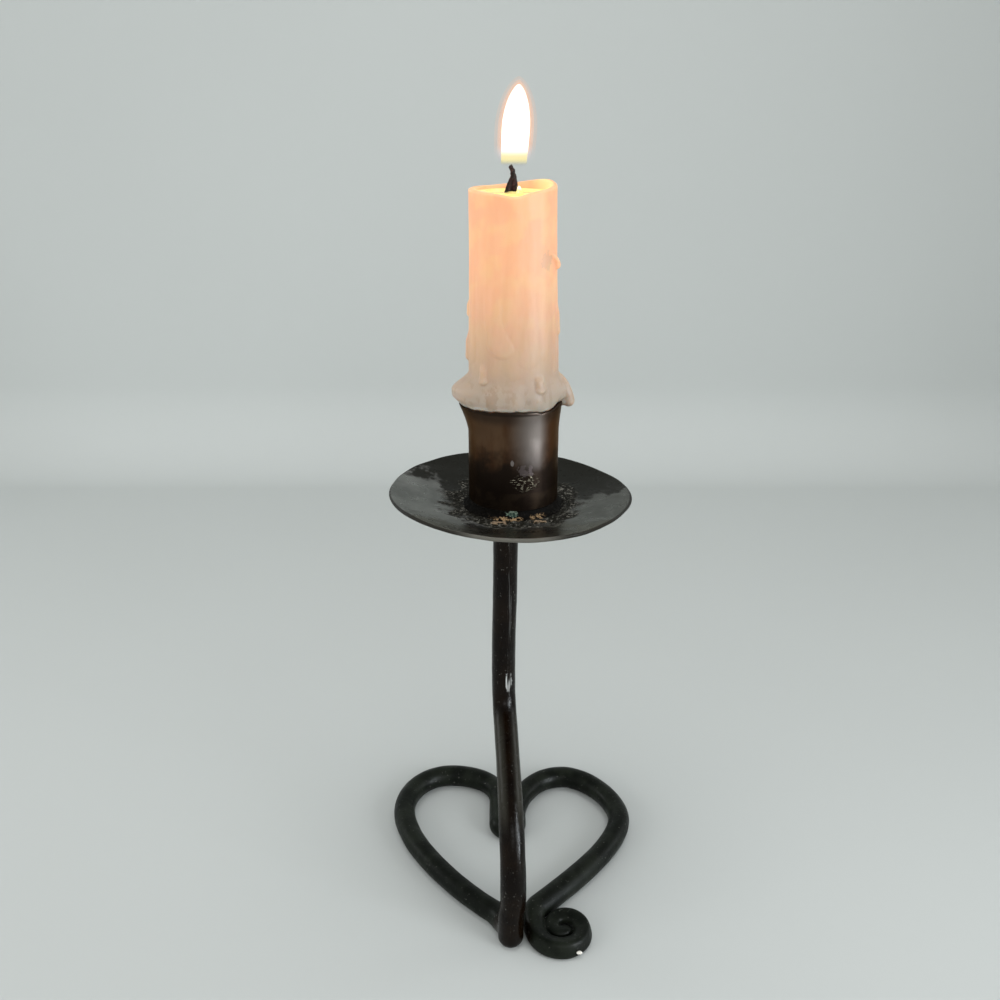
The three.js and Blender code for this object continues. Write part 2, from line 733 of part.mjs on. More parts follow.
export default holder;
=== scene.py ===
# Taper candle holder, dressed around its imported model. The forged bar, the drip pan, the cup with its braze
# and the lit candle are built here as fine meshes, with hammer marks, scale, wax runs and a flame.
# Shapes are written in millimetres on the model's own axes: the heart's mid-line is x = 0, the stem's top
# is y = 0 and the table is z = 0. to_frame() turns them into metres in the frame.

from collections import namedtuple

import bpy
import numpy as np
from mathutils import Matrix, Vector, noise


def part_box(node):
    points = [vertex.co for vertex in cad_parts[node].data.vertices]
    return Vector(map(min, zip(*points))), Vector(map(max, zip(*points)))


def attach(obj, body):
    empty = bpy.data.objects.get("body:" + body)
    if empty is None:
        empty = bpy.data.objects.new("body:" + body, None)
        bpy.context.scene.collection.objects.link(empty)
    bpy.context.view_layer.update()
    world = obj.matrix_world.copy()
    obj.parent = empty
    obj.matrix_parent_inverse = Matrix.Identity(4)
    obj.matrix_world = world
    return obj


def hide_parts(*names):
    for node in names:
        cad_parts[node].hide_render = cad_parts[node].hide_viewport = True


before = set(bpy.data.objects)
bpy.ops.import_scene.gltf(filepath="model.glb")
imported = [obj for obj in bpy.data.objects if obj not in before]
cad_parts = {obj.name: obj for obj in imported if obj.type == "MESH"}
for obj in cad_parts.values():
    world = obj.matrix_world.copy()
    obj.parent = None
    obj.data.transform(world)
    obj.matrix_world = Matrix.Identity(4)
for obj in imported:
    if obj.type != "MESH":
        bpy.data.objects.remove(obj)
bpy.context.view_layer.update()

MM = 0.001
radians = np.radians

# Round bar
HEART_BAR_DIAMETER = 7.9
STEM_BAR_DIAMETER = 7.9
FOOT_BAR_DIAMETER = 8.3
LEFT_FLANK_DIAMETER = 7.3
UNDERSIDE_FLAT = 0.4

# Heart seen from above, as two lobes that end at the cleft
LEFT_LOBE = {
    "out": (-40.3, 19), "top": (-23.5, 38.8), "flank": (-6.6, -33.2), "flank_angle": 141,
    "flank_pull": 17, "point_pull": 19.5, "out_pull": 11, "top_pull": 9.5, "in_pull": 12.5,
}
RIGHT_LOBE = {
    "out": (39.9, 14), "top": (20, 38), "flank": (8.5, -31.1), "flank_angle": 44,
    "flank_pull": 13.5, "point_pull": 20, "out_pull": 10.5, "top_pull": 9.5, "in_pull": 11.5,
}
CLEFT_X = -1.5
CLEFT_Y = 10.3
CLEFT_RADIUS = 2.8
LEFT_LEG_TOP = 22
RIGHT_LEG_TOP = 14
LEG_PULL = 10

# Stem, from the table up to its tenon
FOOT_X = -0.8
FOOT_Y = -42.9
FOOT_BEND = 5.5
HEEL_ROUND = 3
KNEE_X = -0.1
STEM_TOP_X = -2.5
LOWER_BEND_START = 18
LOWER_BEND_RADIUS = 34
UPPER_BEND_RADIUS = 12
RAMP_ANGLE = radians(60)
STEM_BOW = 0.6
BOW_HEIGHT = 78
BOW_SPREAD = 26
TENON_DIAMETER = 5
TENON_HEAD_DIAMETER = 9
TENON_HEAD_HEIGHT = 1.6
TENON_ROOT = 2

# Scroll, in a bar drawn out thinner and hammered nearly square. A section of 2 is round, and a higher one
# is squarer.
SCROLL_X = 15.7
SCROLL_Y = -39.5
SCROLL_RADIUS = 8.7
SCROLL_END_RADIUS = 1.8
SCROLL_START = radians(193)
SCROLL_SWEEP = radians(482)
SCROLL_BAR_WIDTH = 6
SCROLL_TIP_WIDTH = 4.5
SCROLL_LEAD = 4
ROUND_SECTION = 2
SCROLL_SECTION = 3.4

# Drip pan
PAN_X = -1.2
PAN_DIAMETER = 75
PAN_FLOOR = 135.3
PAN_DISH = 4.4
PAN_DISH_CURVE = 1.4
PAN_SHEET = 1.3
PAN_LEAN = 1
PAN_FLAT_RADIUS = 16.9

# Candle cup and its braze
CUP_X = -0.2
CUP_DIAMETER = 27.4
CUP_WALL = 1.3
CUP_HEIGHT = 32.6
LIP_WALL = 0.7
FLARE = 0.9
FLARE_LEFT = 2.1
FLARE_HEIGHT = 9
FLARE_CURVE = 1.4
SEAT_GAP = 0.3
BRAZE_WIDTH = 1.9
BRAZE_HEIGHT = 2.6
BRAZE_SUNK = 0.2

# Candle, pool, wick and flame
CANDLE_TOP_X = -0.75
CANDLE_RADIUS = 12.05
CANDLE_LENGTH = 92.1
WAX_AT_TOP = 0.35
WAX_AT_FOOT = 1.5
COLLAR_HEIGHT = 9.2
COLLAR_OUT = 0.9
COLLAR_LEFT = 4.2
COLLAR_RIGHT = 1.5
LIP_SHOWING = 0.45
POOL_RADIUS = 10.6
POOL_SLOPE = 1.2
POOL_DEPTH = 2.9
POOL_FILL = 1.3
BEAD_X = 1.05
BEAD_Y = 0.5
BEAD_RADIUS = 0.8
BEAD_HEIGHT = 1.7
RIM_ROUND = 0.35
WICK_DIAMETER = 2.6
WICK_HEIGHT = 7.3
FLAME_HEIGHT = 20.6
FLAME_WIDTH = 7.6
FLAME_BELLY = 0.45
FLAME_LEAN = 1.1
FLAME_CURL = 0.2
FLAME_X = -0.5

# Worked out from those sizes
BAR_HEIGHT = HEART_BAR_DIAMETER / 2 - UNDERSIDE_FLAT
STEM_SHOULDER = PAN_FLOOR - PAN_SHEET - SEAT_GAP
PAN_RADIUS = PAN_DIAMETER / 2
CUP_RADIUS = CUP_DIAMETER / 2
CUP_FOOT = PAN_FLOOR + SEAT_GAP
CUP_LIP = CUP_FOOT + CUP_HEIGHT
CANDLE_FOOT = CUP_FOOT + TENON_HEAD_HEIGHT + SEAT_GAP
CANDLE_TOP = CANDLE_FOOT + CANDLE_LENGTH
COLLAR_FOOT = CUP_LIP + SEAT_GAP
RECESS_FLOOR = CANDLE_TOP - POOL_DEPTH
POOL_TOP = RECESS_FLOOR + SEAT_GAP + POOL_FILL
WICK_TIP = POOL_TOP + WICK_HEIGHT

# The pool's middle ties the model's own axes to the frame
pool_low, pool_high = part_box("melt_pool")
pool_middle = (pool_low + pool_high) / 2 / MM
FRAME_SHIFT = np.array([pool_middle.x - CANDLE_TOP_X, pool_middle.y, 0.0])


def to_frame(points):
    return (np.asarray(points, float) + FRAME_SHIFT) * MM


def lerp(a, b, t):
    return a + (b - a) * t


def smoothstep(value, low, high):
    t = np.clip((value - low) / (high - low), 0, 1)
    return t * t * (3 - 2 * t)


def turn_from(angle, centre):
    return np.arctan2(np.sin(angle - centre), np.cos(angle - centre))


def around(angle, centre, spread):
    """1 at the centre angle, fading out over the spread on each side. Both are in degrees."""
    return np.exp(-((turn_from(angle, radians(centre)) / radians(spread)) ** 2))


def noise_at(points, size, seed):
    """Smooth noise from about -1 to 1 at each point, with features of about that size."""
    offset = Vector((seed, seed * 1.7, seed * 0.6))
    return np.array([noise.noise(Vector(p) / size + offset) for p in points])


def lumps(points, *layers):
    """Layers of noise together, each with its depth, the size of its features and its seed."""
    return sum(depth * noise_at(points, size, seed) for depth, size, seed in layers)


def ripples(angle, *waves):
    """Waves round a circle, each with its depth, how many there are, and its phase."""
    return sum(depth * np.cos(count * angle + phase) for depth, count, phase in waves)


# Camera

CAMERA_AT = (-4.3, -291, 250)
CAMERA_PITCH = 21.36
LENS = 36
SENSOR_WIDTH = 36


def new_object(name, data):
    thing = bpy.data.objects.new(name, data)
    bpy.context.scene.collection.objects.link(thing)
    return thing


def make_camera():
    camera = new_object("camera", bpy.data.cameras.new("camera"))
    camera.data.lens = LENS
    camera.data.sensor_width = SENSOR_WIDTH
    camera.location = to_frame(CAMERA_AT)
    camera.rotation_euler = (radians(90 - CAMERA_PITCH), 0, 0)
    bpy.context.scene.camera = camera


# Mesh helpers

def full_turn(count):
    return np.linspace(0, 2 * np.pi, count, endpoint=False)


def ring(x, radius, angles, z, y=0.0):
    """Points round an upright axis."""
    flat = np.zeros_like(angles)
    return np.column_stack([x + radius * np.cos(angles), y + radius * np.sin(angles), z + flat])


def skin(rings, looped=False):
    """Vertices and faces through rings of equally many points, capped at both ends unless they loop."""
    rings = np.asarray(rings, float)
    count, sides = rings.shape[:2]
    faces = []
    for row in range(count if looped else count - 1):
        low, high = row * sides, (row + 1) % count * sides
        for side in range(sides):
            after = (side + 1) % sides
            faces.append((low + side, low + after, high + after, high + side))
    if not looped:
        faces.append(tuple(reversed(range(sides))))
        faces.append(tuple(range((count - 1) * sides, count * sides)))
    return rings.reshape(-1, 3), faces


def turned_rings(profile, segments, x=0.0, y=0.0):
    """Rings of a profile of (radius, height) turned round an upright axis."""
    angles = full_turn(segments)
    return np.array([ring(x, r, angles, z, y) for r, z in profile])


def make_object(name, vertices, faces):
    mesh = bpy.data.meshes.new(name)
    mesh.from_pydata(to_frame(vertices).tolist(), [], faces)
    mesh.shade_smooth()
    mesh.update()
    return new_object(name, mesh)


def fused(name, parts, voxel, smoothing):
    """One closed piece from overlapping closed parts, with softened creases."""
    vertices, faces = [], []
    for part_vertices, part_faces in parts:
        start = sum(len(v) for v in vertices)
        vertices.append(part_vertices)
        faces += [tuple(start + index for index in face) for face in part_faces]
    piece = make_object(name, np.concatenate(vertices), faces)
    remesh = piece.modifiers.new("fuse", "REMESH")
    remesh.mode = "VOXEL"
    remesh.voxel_size = voxel * MM
    soften = piece.modifiers.new("soften", "SMOOTH")
    soften.iterations = smoothing
    evaluated = piece.evaluated_get(bpy.context.evaluated_depsgraph_get())
    mesh = bpy.data.meshes.new_from_object(evaluated)
    piece.modifiers.clear()
    piece.data = mesh
    mesh.shade_smooth()
    return piece


def vertex_data(piece, field):
    values = np.empty(len(piece.data.vertices) * 3)
    piece.data.vertices.foreach_get(field, values)
    return values.reshape(-1, 3)


def points_of(piece):
    return vertex_data(piece, "co") / MM - FRAME_SHIFT


def set_points(piece, points):
    piece.data.vertices.foreach_set("co", to_frame(points).ravel())
    piece.data.update()


def push_out(piece, amount):
    """Moves each point along its normal by amount, in millimetres."""
    set_points(piece, points_of(piece) + vertex_data(piece, "normal") * np.asarray(amount)[:, None])


def dress(piece, material, slot, body, *nodes):
    piece.data.materials.append(material)
    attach(piece, body)
    if nodes:
        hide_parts(*nodes)


# Curves of the forged bar: each takes an array of shares of its length and gives points

def line(start, end):
    return lambda t: lerp(np.asarray(start, float), np.asarray(end, float), t[:, None])


def pulled(start, start_pull, end_pull, end):
    a, b, c, d = (np.asarray(p, float) for p in (start, start_pull, end_pull, end))

    def at(t):
        t = t[:, None]
        return (1 - t) ** 3 * a + 3 * (1 - t) ** 2 * t * b + 3 * (1 - t) * t**2 * c + t**3 * d

    return at


def bend(start, heading, side, radius, angle):
    def at(t):
        turn = angle * t[:, None]
        return start + radius * (np.sin(turn) * heading + (1 - np.cos(turn)) * side)

    return at


RIGHTWARDS = np.array([1.0, 0, 0])
BACKWARDS = np.array([0, 1.0, 0])


def on_table(x, y):
    return np.array([x, y, BAR_HEIGHT])


def along_flank(lobe, distance):
    angle = radians(lobe["flank_angle"])
    x, y = lobe["flank"]
    return on_table(x + distance * np.cos(angle), y + distance * np.sin(angle))


def heart_side(lobe, leg_x, leg_top):
    """Along one flank, round the lobe and down the leg that dips into the cleft."""
    out, top, leg = on_table(*lobe["out"]), on_table(*lobe["top"]), on_table(leg_x, leg_top)
    inwards = -np.sign(out[0]) * RIGHTWARDS
    return [
        pulled(along_flank(lobe, 0), along_flank(lobe, lobe["point_pull"]),
               out - lobe["flank_pull"] * BACKWARDS, out),
        pulled(out, out + lobe["out_pull"] * BACKWARDS, top - lobe["top_pull"] * inwards, top),
        pulled(top, top + lobe["in_pull"] * inwards, leg + LEG_PULL * BACKWARDS, leg),
        line(leg, on_table(leg_x, CLEFT_Y)),
    ]


def stem_curves():
    """The stem from its shoulder down to the left flank, in the upright plane of its two bends."""
    down = np.array([0.0, 0, -1])
    run = np.hypot(STEM_TOP_X - KNEE_X, FOOT_Y)
    forwards = np.array([(KNEE_X - STEM_TOP_X) / run, FOOT_Y / run, 0])
    sine, cosine = np.sin(RAMP_ANGLE), np.cos(RAMP_ANGLE)
    bends = UPPER_BEND_RADIUS + LOWER_BEND_RADIUS
    ramp_length = (run - bends * (1 - cosine)) / sine
    upper_start = np.array([STEM_TOP_X, 0, LOWER_BEND_START + bends * sine + ramp_length * cosine])
    ramp_heading = down * cosine + forwards * sine
    ramp_side = down * sine - forwards * cosine
    end = np.array([1.0])
    upper = bend(upper_start, down, forwards, UPPER_BEND_RADIUS, RAMP_ANGLE)
    ramp_start = upper(end)[0]
    ramp_end = ramp_start + ramp_heading * ramp_length
    lower = bend(ramp_end, ramp_heading, ramp_side, LOWER_BEND_RADIUS, RAMP_ANGLE)
    heel_top = BAR_HEIGHT + FOOT_BEND
    half_way = (LOWER_BEND_START + heel_top) / 2
    return [
        line((STEM_TOP_X, 0, STEM_SHOULDER), upper_start),
        upper,
        line(ramp_start, ramp_end),
        lower,
        pulled((KNEE_X, FOOT_Y, LOWER_BEND_START), (KNEE_X, FOOT_Y, half_way),
               (FOOT_X, FOOT_Y, half_way), (FOOT_X, FOOT_Y, heel_top)),
        pulled((FOOT_X, FOOT_Y, heel_top), (FOOT_X, FOOT_Y, BAR_HEIGHT),
               along_flank(LEFT_LOBE, -HEART_BAR_DIAMETER / 2), along_flank(LEFT_LOBE, 0)),
    ]


def scroll(t):
    """From the scroll's tip outwards: a round turn that tightens into a small eye."""
    angle = SCROLL_START + SCROLL_SWEEP * (1 - t)
    radius = lerp(SCROLL_END_RADIUS, SCROLL_RADIUS, smoothstep(t, 0, 1))
    height = lerp(SCROLL_TIP_WIDTH, SCROLL_BAR_WIDTH, t) / 2 - UNDERSIDE_FLAT
    return ring(SCROLL_X, radius, angle, height, SCROLL_Y)


STATION_STEP = 0.7
BAR_SIDES = 40
HAIRPIN_SEGMENTS = 64
TURNED_SEGMENTS = 48
TIP_LATITUDES = radians([25, 50, 70, 84])
ROUND = (ROUND_SECTION, ROUND_SECTION)


def stations(links):
    """Centres, radii and section exponents along a chain of links. A link is a curve with the radius and
    the exponent at each of its ends."""
    rows = []
    for curve, radius, section in links:
        probe = curve(np.linspace(0, 1, 60))
        length = np.linalg.norm(np.diff(probe, axis=0), axis=1).sum()
        t = np.linspace(0, 1, max(3, round(length / STATION_STEP)))
        row = np.column_stack([curve(t), lerp(*radius, t), lerp(*section, t)])
        rows.append(row[1 if rows else 0:])
    return np.concatenate(rows)


def tube(rows, first_across, round_start=True):
    """A bar through its stations, rounded at its end, with its section carried along without twist."""
    centres = rows[:, :3]
    tangents = np.gradient(centres, axis=0)
    tangents /= np.linalg.norm(tangents, axis=1)[:, None]

    def tip(row, direction):
        return [
            np.concatenate([row[:3] + direction * row[3] * np.sin(b), [row[3] * np.cos(b), row[4]]])
            for b in TIP_LATITUDES
        ]

    rows = list(rows)
    directions = list(tangents)
    if round_start:
        rows = tip(rows[0], -directions[0])[::-1] + rows
        directions = [directions[0]] * len(TIP_LATITUDES) + directions
    rows += tip(rows[-1], directions[-1])
    directions += [directions[-1]] * len(TIP_LATITUDES)

    def reach(wave, row):
        return (np.sign(wave) * np.abs(wave) ** (2 / row[4]) * row[3])[:, None]

    angles = full_turn(BAR_SIDES)
    across = np.asarray(first_across, float)
    rings = []
    for row, along in zip(rows, directions):
        across = across - along * np.dot(across, along)
        across /= np.linalg.norm(across)
        up = np.cross(along, across)
        rings.append(row[:3] + reach(np.cos(angles), row) * across + reach(np.sin(angles), row) * up)
    return skin(rings)


def rod(curve, start_radius, end_radius):
    """A round rod along one curve, rounded at both ends."""
    return tube(stations([(curve, (start_radius, end_radius), ROUND)]), (0, 1, 0))


def forged_bar():
    heart, stem, foot = HEART_BAR_DIAMETER / 2, STEM_BAR_DIAMETER / 2, FOOT_BAR_DIAMETER / 2
    left_flank = LEFT_FLANK_DIAMETER / 2
    scroll_tip, scroll_bar = SCROLL_TIP_WIDTH / 2, SCROLL_BAR_WIDTH / 2
    shaft, upper, ramp, lower, footing, foot_bend = stem_curves()
    flank, *lobe = heart_side(LEFT_LOBE, CLEFT_X - CLEFT_RADIUS, LEFT_LEG_TOP)
    stem_half = [(curve, (stem, stem), ROUND) for curve in (shaft, upper, ramp)]
    stem_half += [(lower, (stem, foot), ROUND), (footing, (foot, foot), ROUND),
                  (foot_bend, (foot, left_flank), ROUND), (flank, (left_flank, heart), ROUND)]
    stem_half += [(curve, (heart, heart), ROUND) for curve in lobe]

    end, nearly = scroll(np.array([1.0]))[0], scroll(np.array([0.999]))[0]
    heading = (end - nearly) / np.linalg.norm(end - nearly)
    into_flank = pulled(end, end + heading * SCROLL_LEAD, along_flank(RIGHT_LOBE, -SCROLL_LEAD),
                        along_flank(RIGHT_LOBE, 0))
    scroll_half = [
        (scroll, (scroll_tip, scroll_bar), (SCROLL_SECTION, SCROLL_SECTION)),
        (into_flank, (scroll_bar, heart), (SCROLL_SECTION, ROUND_SECTION)),
    ]
    right = heart_side(RIGHT_LOBE, CLEFT_X + CLEFT_RADIUS, RIGHT_LEG_TOP)
    scroll_half += [(curve, (heart, heart), ROUND) for curve in right]

    parts = [
        tube(stations(stem_half), (1, 0, 0), round_start=False),
        tube(stations(scroll_half), (1, 0, 0)),
        hairpin(),
        heel(),
        tenon(),
    ]
    piece = fused("forged_bar_worked", parts, voxel=0.3, smoothing=6)
    hammer_bar(piece)
    return piece


def hairpin():
    """The closed bend of the cleft: the bar's section turned round the hairpin's axis."""
    section = HEART_BAR_DIAMETER / 2
    dimple = np.arccos(-CLEFT_RADIUS / section)
    angles = np.linspace(-dimple, dimple, 25)[1:-1]
    profile = [(CLEFT_RADIUS + section * np.cos(a), BAR_HEIGHT + section * np.sin(a)) for a in angles]
    return skin(turned_rings(profile, HAIRPIN_SEGMENTS, CLEFT_X, CLEFT_Y))


def heel():
    """The upright bar runs down to the table at the corner of the tight bend, and is rounded there."""
    radius = FOOT_BAR_DIAMETER / 2
    turns = radians(np.linspace(0, 90, 9))
    rounding = [(radius - HEEL_ROUND * (1 - np.sin(a)), HEEL_ROUND * (1 - np.cos(a))) for a in turns]
    top = BAR_HEIGHT + FOOT_BEND
    return skin(turned_rings([*rounding, (radius, top)], TURNED_SEGMENTS, FOOT_X, FOOT_Y))


def tenon():
    """The stem's turned end through the pan, headed over inside the cup."""
    shank = TENON_DIAMETER / 2
    head = TENON_HEAD_DIAMETER / 2
    turns = radians(np.linspace(0, 84, 8))
    dome = [(head * np.cos(a), CUP_FOOT + TENON_HEAD_HEIGHT * np.sin(a)) for a in turns]
    profile = [(shank, STEM_SHOULDER - TENON_ROOT), (shank, CUP_FOOT), *dome]
    return skin(turned_rings(profile, TURNED_SEGMENTS, STEM_TOP_X))


def hammer_bar(piece):
    """Broad shallow waves and smaller dints, none below the table. The stem bows to the left."""
    points = points_of(piece)
    push_out(piece, lumps(points, (0.10, 11, 3.1), (0.05, 4.5, 7.7)))
    points = points_of(piece)
    points[:, 0] -= STEM_BOW * np.exp(-(((points[:, 2] - BOW_HEIGHT) / BOW_SPREAD) ** 2))
    points[:, 2] = np.maximum(points[:, 2], 0)
    set_points(piece, points)


# Drip pan

PAN_SEGMENTS = 320
SCALE_START = 13
SCALE_EDGE = 22.5
RIDGE_PITCH = 1.7


def pan_height(x, y):
    """The pan's top face above the table: flat in the middle, dished outside, wavy from hammering."""
    radius = np.hypot(x, y)
    angle = np.arctan2(y, x)
    out = np.clip((radius - PAN_FLAT_RADIUS) / (PAN_RADIUS - PAN_FLAT_RADIUS), 0, None)
    waves = ripples(angle, (0.4, 3, 1), (-PAN_LEAN, 1, 0))
    return PAN_FLOOR + PAN_DISH * out**PAN_DISH_CURVE + waves * out


def drip_pan():
    angles = full_turn(PAN_SEGMENTS)
    hole = TENON_DIAMETER / 2 + SEAT_GAP
    half = PAN_SHEET / 2
    edge = PAN_RADIUS - half
    finer = np.linspace(SCALE_START + 0.3, SCALE_EDGE + 1.5, 48)
    radii = [*np.linspace(0, SCALE_START, 10), *finer, *np.linspace(SCALE_EDGE + 2, edge, 24)]
    rolls = radians([-60, -30, 0, 30, 60])
    under = [(r, -PAN_SHEET) for r in radii]
    rim = [(edge + half * np.cos(a), -half + half * np.sin(a)) for a in rolls]
    over = [(r, 0.0) for r in radii[::-1]]
    wander = ripples(angles, (0.2, 5, 0.4), (0.08, 11, 2))
    rings = []
    for r, below in under + rim + over:
        share = r / PAN_RADIUS
        offset = (1 - share) * (STEM_TOP_X - PAN_X)
        reach = lerp(hole, PAN_RADIUS, share) + wander * share**6
        x, y = reach * np.cos(angles) + offset, reach * np.sin(angles)
        rings.append(np.column_stack([x + PAN_X, y, pan_height(x, y) + below]))
    piece = make_object("drip_pan_worked", *skin(rings, looped=True))
    hammer_pan(piece)
    return piece


def hammer_pan(piece):
    """Dints in the brim, a crust of scale round the cup, and ridges in it at the right."""
    points = points_of(piece)
    x, y = points[:, 0] - PAN_X, points[:, 1]
    radius, angle = np.hypot(x, y), np.arctan2(y, x)
    top = vertex_data(piece, "normal")[:, 2] > 0.5
    dints = lumps(points, (0.16, 9, 1.3), (0.05, 4, 5.9))
    ragged = radius + 2.2 * noise_at(points, 6, 2.2)
    scale = top * (1 - smoothstep(ragged, SCALE_EDGE - 3, SCALE_EDGE))
    scale *= smoothstep(radius, SCALE_START, SCALE_START + 2)
    crust = 0.32 * np.abs(noise_at(points, 1.1, 4.4)) + 0.22 * np.clip(noise_at(points, 2.3, 8.1), 0, 1)
    swirl = np.cos(2 * np.pi * (radius + 0.9 * noise_at(points, 5, 3.6)) / RIDGE_PITCH)
    ridges = 0.22 * np.clip(swirl, 0, 1) * around(angle, -12, 38)
    calm = smoothstep(radius, 6, 14)
    points[:, 2] += dints * calm + scale * (crust + ridges)
    set_points(piece, points)


# Cup

CUP_SEGMENTS = 192


def lip_height(angle):
    """The lip sags a little at the sides and is torn at the front right, with a corner that stands up."""
    sag = -0.3 * np.abs(np.cos(angle)) ** 3
    front = 0.4 * around(angle, -90, 40)
    tear = -0.4 * around(angle, -50, 14)
    corner = 1.2 * around(angle, -22, 13) + 0.5 * around(angle, -9, 5)
    ragged = ripples(angle, (0.08, 17, 1), (0.06, 29, 0))
    return CUP_LIP + sag + front + tear + corner + ragged


def flare(z, angle):
    up = np.clip((z - CUP_LIP) / FLARE_HEIGHT + 1, 0, 1.2) ** FLARE_CURVE
    return up * (FLARE + FLARE_LEFT * around(angle, 180, 50))


def candle_cup():
    angles = full_turn(CUP_SEGMENTS)
    shares = [*np.linspace(0, 0.75, 20), *np.linspace(0.77, 0.99, 16)]
    rolls = radians([30, 60, 90, 120, 150])
    half = LIP_WALL / 2
    lip = lip_height(angles)
    rings = []

    def add_ring(radius, z):
        rings.append(ring(CUP_X, radius + flare(z, angles), angles, z))

    for share in shares:
        add_ring(CUP_RADIUS, lerp(CUP_FOOT, lip - half, share))
    for a in rolls:
        add_ring(CUP_RADIUS - half + half * np.cos(a), lip - half + half * np.sin(a))
    for share in shares[::-1]:
        wall = lerp(CUP_WALL, LIP_WALL, smoothstep(share, 0.85, 1))
        add_ring(CUP_RADIUS - wall, lerp(CUP_FOOT, lip - half, share))
    piece = make_object("candle_cup_worked", *skin(rings, looped=True))
    points = points_of(piece)
    outside = np.hypot(points[:, 0] - CUP_X, points[:, 1]) > CUP_RADIUS - 0.2
    push_out(piece, outside * lumps(points, (0.06, 9, 6.2), (0.012, 2.5, 3.3)))
    return piece


def braze_bead():
    """Lumpy braze between the cup's foot and the pan."""
    bore, foot = CUP_RADIUS + 0.05, CUP_FOOT - BRAZE_SUNK
    turns = np.linspace(0, np.pi / 2, 9)
    hollow = zip(bore + BRAZE_WIDTH * (1 - np.sin(turns)), foot + BRAZE_HEIGHT * (1 - np.cos(turns)))
    rings = turned_rings([(bore, foot), *hollow], CUP_SEGMENTS, CUP_X)
    piece = make_object("braze_bead_worked", *skin(rings, looped=True))
    points = points_of(piece)
    outside = smoothstep(np.hypot(points[:, 0] - CUP_X, points[:, 1]), bore, bore + 0.5)
    push_out(piece, outside * lumps(points, (0.4, 2.6, 1.9), (0.2, 1.2, 9.4)))
    return piece


# Candle. A run is a streak of wax that has flowed down the side: the angle that it runs at, the heights
# where it starts and ends, half its width, how far it stands out, and how far it drifts sideways.

CANDLE_SEGMENTS = 256
POOL_SEGMENTS = 160
FLAME_SEGMENTS = 64
DRIP_ANGLE = radians(-2)
Run = namedtuple("Run", "angle start end width out drift")

RUNS = [
    Run(-118, 208, 184, 3.6, 0.5, 2.6),
    Run(-131, 182, 175.9, 1.45, 1, 0),
    Run(-56, 179, 173.6, 1.8, 1, 0),
    Run(-88, 226, 178, 3.2, 0.12, 0),
    Run(-68, 214, 181, 2.6, 0.13, -0.8),
    Run(-48, 222, 183, 1.8, 0.13, 0),
    Run(-26, 212, 178, 1.3, 0.25, 0),
    Run(-6, 198, 188.5, 2.4, 0.5, 0),
    Run(14, 218, 184, 1.9, 0.4, 0),
    Run(40, 220, 186, 2.4, 0.6, 2),
    Run(75, 210, 176, 2.6, 0.7, 0),
    Run(104, 224, 192, 1.8, 0.5, -1),
    Run(140, 206, 178, 2.8, 0.7, 0),
    Run(176, 199, 193.6, 1.7, 0.7, 0),
    Run(-176, 190, 181, 2.4, 0.85, 0),
    Run(-158, 216, 181, 2.2, 0.3, 0),
]


def rim_height(angle):
    back = 1.9 * around(angle, 35, 50)
    front = -0.9 * around(angle, -100, 42)
    dip = -0.8 * around(angle, -86, 16)
    return CANDLE_TOP + back + front + dip


def run_of_wax(run, z, angle):
    """How far one run stands out of the candle at a height and an angle."""
    along = np.clip((run.start - z) / (run.start - run.end), 0, None)
    width = run.width * (0.75 + 0.35 * smoothstep(along, 0.6, 0.95))
    centre = radians(run.angle) + run.drift / CANDLE_RADIUS * smoothstep(along, 0.5, 1)
    turn = turn_from(angle, centre) * CANDLE_RADIUS
    past_end = np.clip((run.end + width - z) / width, 0, None)
    reach = np.sqrt((turn / width) ** 2 + past_end**2)
    body = np.sqrt(np.clip(1 - reach**2, 0, None))
    return run.out * body * smoothstep(along, 0, 0.4) * (1 + 0.4 * smoothstep(along, 0.75, 0.95))


def up_candle(z):
    return (z - COLLAR_FOOT) / (CANDLE_TOP - COLLAR_FOOT)


def wax_radius(z, angle):
    down = 1 - up_candle(z)
    coat = lerp(WAX_AT_TOP, WAX_AT_FOOT, smoothstep(down, 0, 1)) - 0.15 * smoothstep(down, 0.1, 0.5)
    flutes = ripples(angle, (0.06, 9, 1.1), (0.03, 16, 0))
    up = (z - COLLAR_FOOT) / COLLAR_HEIGHT
    left = COLLAR_LEFT * around(angle, 180, 34)
    right = COLLAR_RIGHT * around(angle, -6, 15)
    folds = ripples(angle, (0.25, 7, 0.8), (0.2, 12, 0))
    collar = (1 - smoothstep(up, 0.38, 1.0)) * (0.72 + 0.28 * smoothstep(up, 0, 0.24))
    runs = sum(run_of_wax(run, z, angle) for run in RUNS)
    return CANDLE_RADIUS + coat + flutes + runs + collar * (COLLAR_OUT + (left + right) + folds)


def lean_x(z):
    return lerp(CUP_X, CANDLE_TOP_X, np.clip(up_candle(z), 0, None))


